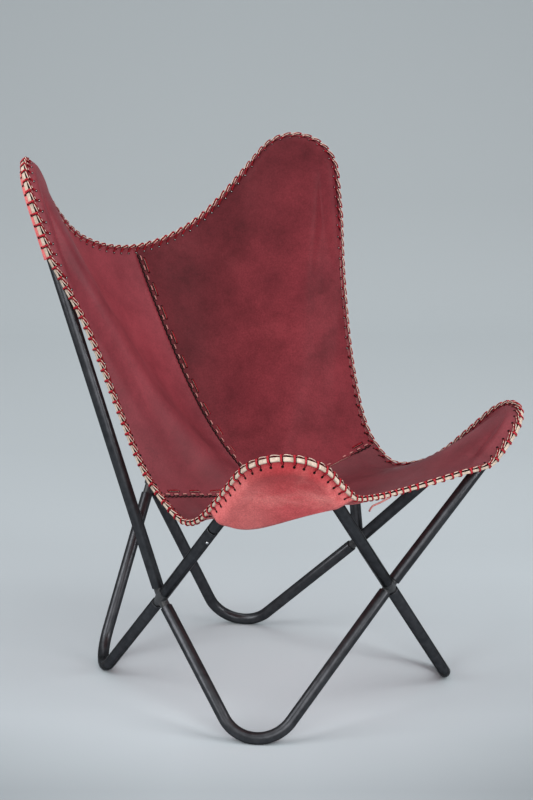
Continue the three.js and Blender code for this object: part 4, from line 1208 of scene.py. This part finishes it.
def lace_section(width, thickness):
    """Outline of a flat lace with rounded corners."""
    angles = 2 * math.pi * (np.arange(SECTION_SIDES) + 0.5) / SECTION_SIDES
    squared = lambda v: np.sign(v) * np.abs(v) ** SECTION_SQUARENESS
    return np.stack([squared(np.cos(angles)) * width / 2, squared(np.sin(angles)) * thickness / 2], axis=1)


def add_lace(made, line, faces_up, width, thickness, top, side):
    """A flat lace along a line; faces_up is the direction that its broad face looks at each point."""
    line = np.asarray(line)
    tangent = unit(np.gradient(line, axis=0))
    up = np.asarray(faces_up)
    up = unit(up - np.sum(up * tangent, axis=1)[:, None] * tangent)
    across = np.cross(tangent, up)
    section = lace_section(width, thickness)
    points = line[:, None] + across[:, None] * section[None, :, :1] + up[:, None] * section[None, :, 1:]
    flat = np.abs(np.sin(2 * math.pi * (np.arange(SECTION_SIDES) + 1) / SECTION_SIDES)) > 0.5
    indices = [top if broad else side for broad in flat] * (len(line) - 1) + [top, top]
    made.add(points.reshape(-1, 3), ring_faces(len(line), SECTION_SIDES), indices)


def spline(points, count):
    points = np.asarray(points)
    return np.array([smooth_curve(points, (len(points) - 1) * k / (count - 1)) for k in range(count)])


def add_hole(made, centre, facing, along, radius, index):
    across = np.cross(facing, along)
    angles = 2 * math.pi * np.arange(HOLE_SIDES) / HOLE_SIDES
    edge = centre + np.outer(np.cos(angles), along) * radius + np.outer(np.sin(angles), across) * radius
    faces = [(k, (k + 1) % HOLE_SIDES, HOLE_SIDES) for k in range(HOLE_SIDES)]
    made.add(np.vstack([edge, centre]), faces, index)


LACE_MATERIALS = [RED, PALE, HOLE_SHADE, RAW, GRAIN, FLESH, GLINT, PINK, DEEP]
TOP, SIDE, DARK, CREAM, INNER, OUTER, LIGHT, BRIGHT, DEEP_TOP = range(9)


def lace_over(made, place, pitch, over, face, down, lace, tone):
    """A lace of one tone over the bound edge and then along a leather face.

    Stops over the edge have a share of the pitch, reach beyond the rim, level, extra lift, and how far the
    broad face looks out and in. Stops down the face have a share of the pitch, depth from the rim and lift.
    """
    width, thickness, count = lace
    line, up = [], []
    for share, out, level, extra, look_out, look_in in over:
        here = RimFrame(place + share * pitch)
        line.append(here.point(out, getattr(here, level) + extra))
        up.append(here.out * look_out + here.inward * look_in)
    for share, depth, lift in down:
        point, normal = on_face(face, place + share * pitch, depth, lift)
        line.append(point)
        up.append(normal)
    looks = read_at(np.linspace(0, len(up) - 1, count), np.arange(len(up)), np.asarray(up))
    add_lace(made, spline(line, count), looks, width, thickness, tone, tone)


def add_link(made, place, pitch, hole_depth):
    """From over the edge along the inside to the next inner hole: deep red that is partly painted shade, pale
    cut sides, and a strip of painted shadow under it.
    """
    over = [(0.0, WELT_REACH + 0.0004, "slot", -0.0006, 1.0, 0.4),
            (0.12, WELT_REACH + 0.0006, "link", -0.0006, 1.0, 0.8),
            (0.36, 0.0024, "link", 0.0002, 0.7, 1.0),
            (0.58, 0.0002, "link", 0.0, 0.4, 1.0),
            (0.74, -0.0024, "link", -0.0004, 0.1, 1.0)]
    down = [(0.90, hole_depth * 0.62, 0.0013), (1.05, hole_depth, -0.0008)]
    lace_over(made, place, pitch, over, "inner", down, LINK_LACE, DEEP_TOP)
    inside = [(0.10, 0.0016, "link", -0.0004, 0.2, 1.0),
              (0.36, 0.0006, "link", 0.0004, 0.2, 1.0),
              (0.66, -0.0014, "link", 0.0003, 0.2, 1.0)]
    down = [(0.92, 0.0046, 0.0014)]
    lace_over(made, place, pitch, inside, "inner", down, CUT_LACE, SIDE)
    outside = [(0.08, WELT_REACH + 0.0005, "slot", 0.0004, 1.0, 0.2),
               (0.40, 0.0042, "slot", 0.0010, 1.0, 0.2),
               (0.70, 0.0026, "slot", 0.0012, 1.0, 0.2),
               (0.95, 0.0006, "slot", 0.0010, 1.0, 0.2)]
    lace_over(made, place, pitch, outside, "inner", [], CUT_LACE, SIDE)
    link_shadow = [(0.30, 0.0004, 0.0003), (0.46, 0.0014, 0.0003), (0.62, 0.0026, 0.0003), (0.78, 0.0040, 0.0003),
           (0.92, 0.0056, 0.0003)]
    lace_over(made, place, pitch, [], "inner", link_shadow, LINK_SHADOW_LACE, DARK)


def add_strap(made, place, pitch, width):
    """Over the cut edges and down the outside into the outer hole, with a dark line of painted shadow beside
    it.
    """
    over = [(0.0, WELT_REACH * 0.6, "link", -0.0004, 0.6, 1.0),
            (0.0, WELT_REACH + 0.0010, "slot", 0.0, 1.0, 0.5),
            (0.02, WELT_REACH + 0.0013, "cream", -0.0008, 1.0, 0.1),
            (0.04, WELT_REACH + 0.0012, "low", 0.0016, 1.0, -0.2),
            (0.06, WELT_REACH * 0.75, "low", -0.0009, 0.5, -1.0),
            (0.08, 0.0, "low", -0.0008, 0.0, -1.0)]
    down = [(0.09, 0.0030, 0.0018), (0.10, 0.0046, 0.0002), (0.11, 0.0058, -0.0012)]
    lace_over(made, place, pitch, over, "outer", down, (width, LACE_THICKNESS, STRAP_STEPS), TOP)
    shade = [(0.02, WELT_REACH + 0.0004, "cream", 0.0, 1.0, 0.0),
             (0.04, WELT_REACH + 0.0004, "low", 0.0010, 1.0, -0.3),
             (0.06, WELT_REACH * 0.75, "low", -0.0003, 0.3, -1.0),
             (0.08, 0.0, "low", -0.0003, 0.0, -1.0)]
    down = [(0.08, 0.0036, 0.0010), (0.02, OUTER_HOLE_DEPTH, 0.0004)]
    lace_over(made, place + width * SHADE_ASIDE, pitch, shade, "outer", down, SHADE_LACE, DARK)


def add_stitch(made, place, pitch):
    """One turn of lace with its punched holes."""
    place = place + rng.normal(0, PLACE_SPREAD)
    width = STRAP_WIDTH * (1 + rng.normal(0, WIDTH_SPREAD))
    here = RimFrame(place)
    rear = here.centre[2] > FRONT_HEIGHT
    hole_depth = INNER_HOLE_DEPTH if rear else FRONT_INNER_HOLE_DEPTH
    add_link(made, place, pitch, hole_depth)
    add_strap(made, place, pitch, width)
    # Each punched hole is a dark disc of painted shade
    for face, depth, punch in (("inner", hole_depth, INNER_PUNCH), ("outer", OUTER_HOLE_DEPTH, OUTER_PUNCH)):
        share, deeper, lift, radius = punch
        point, normal = on_face(face, place + share * pitch, depth + deeper, lift)
        add_hole(made, point, normal, here.along, radius, DARK)
        # Painted glints only in the inner holes where the rim is higher than the front
        if rear and face == "inner":
            add_hole(made, point + normal * GLINT_LIFT, normal, here.along, GLINT_RADIUS, LIGHT)


def add_welt(made, start, end):
    """Cut edges of the leather as a pale band, and painted shade in the slot between them and the inner
    lacing.
    """
    count = int((end - start) / WELT_STEP) + 2
    reach = WELT_REACH
    rings = []
    for place in np.linspace(start, end, count):
        here = RimFrame(place)
        section = [(-0.0034, here.low + 0.0008, CREAM), (-0.0022, here.low, OUTER), (0.0012, here.low, CREAM),
                   (reach * 0.92, here.low * 0.97, CREAM), (reach, here.low * 0.75, CREAM),
                   (reach * 1.04, (here.low + here.cream) / 2, CREAM), (reach, here.cream - 0.0003, CREAM),
                   (reach * 0.9, here.cream, DARK), (0.0008, here.cream + 0.0002, DARK),
                   (0.0008, here.slot, DARK), (-0.0004, here.slot + 0.0002, INNER),
                   (-0.0030, here.cream, CREAM)]
        rings.append([here.point(out, lift) for out, lift, _ in section])
    indices = [zone for _, _, zone in section] * (count - 1) + [CREAM, CREAM]
    made.add(np.array(rings).reshape(-1, 3), ring_faces(count, len(section)), indices)


rear_crown, front_crown = rim_run[REAR_CROWN], rim_run[FRONT_CROWN]
crowns = [-rear_crown, rear_crown, front_crown, RIM_LENGTH - front_crown, RIM_LENGTH - rear_crown]
for name, start, end in zip(("back", "right", "front", "left"), crowns, crowns[1:]):
    made = Builder()
    count = round((end - start) / STITCH_PITCH)
    pitch = (end - start) / count
    add_welt(made, start, end)
    for k in range(count):
        add_stitch(made, start + pitch * (k + 0.5), pitch)
    settle(made.piece(f"edge_lacing_{name}", LACE_MATERIALS), [f"edge_lace_{name}"])


# Seams: a wavy line of painted shadow over the join, a tight row of short stitches beside it, and long dashes
# farther off

class SeamLine:
    """Points along a seam with the leather's normal and the direction across, by distance from its start."""

    def __init__(self, points, normals):
        self.points = np.asarray(points)
        self.normals = np.asarray(normals)
        self.run = run_along(self.points)
        self.length = self.run[-1]
        self.tangents = unit(np.gradient(self.points, axis=0))

    def frame(self, place):
        """Point, normal and direction across at a distance along the seam."""
        tangent = unit(read_at(place, self.run, self.tangents))
        normal = unit(read_at(place, self.run, self.normals))
        return read_at(place, self.run, self.points), normal, np.cross(normal, tangent)


def on_seam(line, place, offset, lift, face):
    point, normal, across = line.frame(place)
    return point + across * offset + normal * face * (PANEL_THICKNESS / 2 + lift), normal * face


def seam_strip(made, line, places, offsets, lifts, face, width, thickness, top, side):
    """A flat lace along a seam through places with their offsets across it and lifts; gives its stops."""
    stops = [on_seam(line, *stop, face) for stop in zip(places, offsets, lifts)]
    add_lace(made, [p for p, _ in stops], [n for _, n in stops], width, thickness, top, side)
    return stops


def seam_stitch(made, line, place, length, offset, face, width, top):
    """One stitch along a seam in a dark outline of painted shadow, out of one hole and into the next; each
    hole is a dark disc of painted shade.
    """
    shares = np.linspace(-0.5, 0.5, SEAM_STOPS)
    offsets = np.full(SEAM_STOPS, offset)
    outline = place + shares * (length + OUTLINE_LONGER)
    seam_strip(made, line, outline, offsets, np.full(SEAM_STOPS, OUTLINE_LIFT), face, width + OUTLINE_WIDER,
               OUTLINE_THICKNESS, DARK, DARK)
    rise = SEAM_LACE_RISE - SEAM_LACE_DIVE * (2 * shares) ** 6
    stops = seam_strip(made, line, place + shares * length, offsets, rise, face, width,
                       SEAM_LACE_THICKNESS, top, SIDE)
    for tip, inner in ((0, 1), (-1, -2)):
        point, facing = stops[tip]
        along = unit(point - stops[inner][0])
        centre = point + facing * SEAM_HOLE_LIFT + along * SEAM_HOLE_BEYOND
        add_hole(made, centre, facing, along, SEAM_HOLE_RADIUS, DARK)


def add_seam(made, line, side, face):
    """Join of two panels: a dark wavy line of painted shadow, short stitches close to it and long ones
    farther off.
    """
    places = np.linspace(JOIN_SHADOW_END, line.length - JOIN_SHADOW_END, int(line.length / JOIN_SHADOW_STEP))
    sway = [JOIN_SHADOW_SWAY * math.sin(4 * math.pi * place / SEAM_STITCH_PITCH) for place in places]
    lifts = np.full(len(places), JOIN_SHADOW_LIFT)
    seam_strip(made, line, places, sway, lifts, face, JOIN_SHADOW_WIDTH, JOIN_SHADOW_THICKNESS, DARK, DARK)
    count = int(line.length / SEAM_STITCH_PITCH)
    for k in range(count):
        place = (k + 0.5) * line.length / count
        seam_stitch(made, line, place, SHORT_LENGTH, SHORT_OFFSET * side, face, SHORT_WIDTH, BRIGHT)
    count = int(line.length / DASH_PITCH)
    for k in range(count):
        place = (k + 0.5) * line.length / count + rng.normal(0, DASH_SPREAD[0])
        length = DASH_LENGTH + rng.normal(0, DASH_SPREAD[1])
        seam_stitch(made, line, place, length, DASH_OFFSET * side, face, DASH_WIDTH, DEEP_TOP)


seam_rows = slice(2, BAND_ROWS + HANG_ROWS)
back_line = SeamLine(ring[0, seam_rows], ring_normals[0, seam_rows])
right_seam = ring[SEAM_COLUMN, seam_rows]
right_seam_normals = ring_normals[SEAM_COLUMN, seam_rows]
seat_line = SeamLine(np.vstack([right_seam, (right_seam * MIRROR)[::-1]]),
                     np.vstack([right_seam_normals, (right_seam_normals * MIRROR)[::-1]]))
for name, line in (("back_seam", back_line), ("seat_seam", seat_line)):
    made = Builder()
    add_seam(made, line, 1.0, 1.0)
    add_seam(made, line, -1.0, -1.0)
    settle(made.piece(f"{name}_lacing", LACE_MATERIALS), [f"{name}_lace"])

# Loose end of the front lace, where its solid hangs

tail_low, tail_high = (np.array(corner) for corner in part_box("lace_tail"))
tail_share = np.linspace(0, 1, TAIL_STEPS)
hooked = TAIL_HOOK * (np.maximum(tail_share - 1 + TAIL_HOOK_SHARE, 0) / TAIL_HOOK_SHARE) ** 2
tail_run = np.stack([-TAIL_RUN * tail_share, -TAIL_FORWARD * np.sin(math.pi / 2 * tail_share),
                     -TAIL_DROOP * tail_share - hooked], axis=1)
tail_middle = (tail_run.min(axis=0) + tail_run.max(axis=0)) / 2
tail_line = tail_run + (tail_low + tail_high) / 2 - tail_middle - CENTRING
tail_tangent = unit(np.gradient(tail_line, axis=0))
tail_stations = [(p, t, TAIL_DIAMETER / 2) for p, t in zip(tail_line, tail_tangent)]
tail = Builder()
tail_rings = round_rings(tail_stations, np.array([0.0, -1.0, 0.0]), TAIL_SIDES)
tail.add(tail_rings, ring_faces(TAIL_STEPS, TAIL_SIDES))
tail_piece = settle(tail.piece("lace_loose_end", [PINK]), ["lace_tail"])

# Studio: seamless pale paper, soft light, camera

STAGE_NEAR = 4.0
STAGE_FAR = 3.2
STAGE_WIDE = 5.0
STAGE_HIGH = 5.0
COVE_RADIUS = 1.6
COVE_STEPS = 24

# Painted light and shade on the paper: its tones by distance along the view, across it near the chair, and
# far out to both sides
PAPER_TONES = [
    (-4.0, 0.78), (-2.2, 0.52), (-1.0, 0.40), (-0.62, 0.35), (-0.48, 0.365), (-0.32, 0.478), (-0.18, 0.58),
    (0.0, 0.595), (0.3, 0.545), (0.8, 0.528), (1.63, 0.60), (3.24, 0.826), (4.46, 0.70), (6.0, 0.65)]
PAPER_TINT = {"near": (0.895, 0.985, 1.045), "far": (0.92, 0.985, 1.008)}
PAPER_TINT_TURN = (-0.8, 4.2)
PAPER_SIDES = [
    (-1.2, 0.74), (-0.46, 0.79), (-0.25, 0.93), (-0.15, 1.0), (0.05, 1.0), (0.22, 0.89), (0.44, 0.69),
    (1.2, 0.66)]
PAPER_SIDES_FADE = (-0.3, 0.6)
PAPER_WIDE = [(-4.2, 1.0), (-1.9, 0.56), (-1.05, 1.0), (1.05, 1.0), (1.9, 0.56), (4.2, 1.0)]

# Soft lamps: place to the side, along the view and above the chair's middle, width, height and power
CHAIR_MIDDLE = np.array([0.0, 0.0, 0.45])
LAMPS = {
    "left_softbox": (-2.2, -1.2, 1.3, 1.6, 2.2, 50),
    "right_softbox": (2.2, -1.1, 1.2, 1.4, 2.2, 52),
    "top_softbox": (0.0, 0.2, 2.4, 3.4, 3.4, 38),
    "front_softbox": (0.3, -2.6, 1.0, 2.0, 2.0, 35),
}
STEEP = 0.99
FILL_COLOUR = (0.93, 0.96, 1.0, 1.0)
FILL_STRENGTH = 0.38
CAMERA_CLIP = 50


def paper_stop(reach, tone):
    """Colour of the paper at a distance along the view: its tone, tinted from near to far."""
    start, length = PAPER_TINT_TURN
    turn = min(max(reach - start, 0.0) / length, 1.0)
    tint = [between(pair, turn) for pair in zip(PAPER_TINT["near"], PAPER_TINT["far"])]
    near, far = PAPER_TONES[0][0], PAPER_TONES[-1][0]
    return (reach - near) / (far - near), (*(tone * share for share in tint), 1.0)


def studio_paper():
    """Pale blue-grey paper with painted light and shade: a little brighter round the feet and darker toward
    the camera and to the sides.
    """
    paint = Paint("studio_paper", 0.95, specular=0.05)
    depth = paint.along(FORWARD + UP, PAPER_TONES[0][0], PAPER_TONES[-1][0])
    paper = paint.ramp(depth, [paper_stop(*stop) for stop in PAPER_TONES])
    near = paint.scaled(paint.along(FORWARD + UP, *PAPER_SIDES_FADE), 1.0, 0.0)
    paper = paint.mix(paper, paint.tones(SIDEWAYS, PAPER_SIDES), near, "MULTIPLY")
    paint.colour(paint.mix(paper, paint.tones(SIDEWAYS, PAPER_WIDE), 1.0, "MULTIPLY"))
    return paint.material


def studio_floor():
    """Paper from the floor through a cove up a wall, square to the camera's heading."""
    profile = [(-STAGE_NEAR, 0.0)]
    for k in range(COVE_STEPS + 1):
        angle = math.pi / 2 * k / COVE_STEPS
        profile.append((STAGE_FAR + COVE_RADIUS * math.sin(angle), COVE_RADIUS * (1 - math.cos(angle))))
    profile.append((STAGE_FAR + COVE_RADIUS, STAGE_HIGH))
    points = [FORWARD * reach + SIDEWAYS * side + UP * height - CENTRING
              for reach, height in profile for side in (-STAGE_WIDE, STAGE_WIDE)]
    faces = [(2 * k, 2 * k + 1, 2 * k + 3, 2 * k + 2) for k in range(len(profile) - 1)]
    return make_object("studio_floor", points, faces, [studio_paper()])


floor = studio_floor()


def add_lamp(name, aside, ahead, above, width, height, power):
    """A soft lamp that looks at the chair's middle."""
    place = CHAIR_MIDDLE + SIDEWAYS * aside + FORWARD * ahead + UP * above
    data = bpy.data.lights.new(name, "AREA")
    data.shape = "RECTANGLE"
    data.size, data.size_y = width, height
    data.energy = power
    lamp = bpy.data.objects.new(name, data)
    z = -unit(CHAIR_MIDDLE - place)
    x = unit(np.cross(UP, z)) if abs(z[2]) < STEEP else np.array([1.0, 0.0, 0.0])
    matrix = np.eye(4)
    matrix[:3] = np.stack([x, np.cross(z, x), z, place], axis=1)
    lamp.matrix_world = [list(row) for row in matrix.T]
    bpy.context.scene.collection.objects.link(lamp)


for name, values in LAMPS.items():
    add_lamp(name, *values)

world = bpy.data.worlds.new("studio_fill")
bpy.context.scene.world = world
world.use_nodes = True
world.node_tree.nodes["Background"].inputs["Color"].default_value = FILL_COLOUR
world.node_tree.nodes["Background"].inputs["Strength"].default_value = FILL_STRENGTH

camera_data = bpy.data.cameras.new("photo_camera")
camera_data.lens = CAMERA_LENS
camera_data.sensor_width = CAMERA_SENSOR
camera_data.clip_end = CAMERA_CLIP
camera = bpy.data.objects.new("photo_camera", camera_data)
camera.location = CAMERA_PLACE + CENTRING
camera.rotation_euler = (math.pi / 2 + CAMERA_PITCH, 0.0, -CAMERA_YAW)
bpy.context.scene.collection.objects.link(camera)
bpy.context.scene.camera = camera
bpy.context.scene.view_settings.view_transform = "Standard"
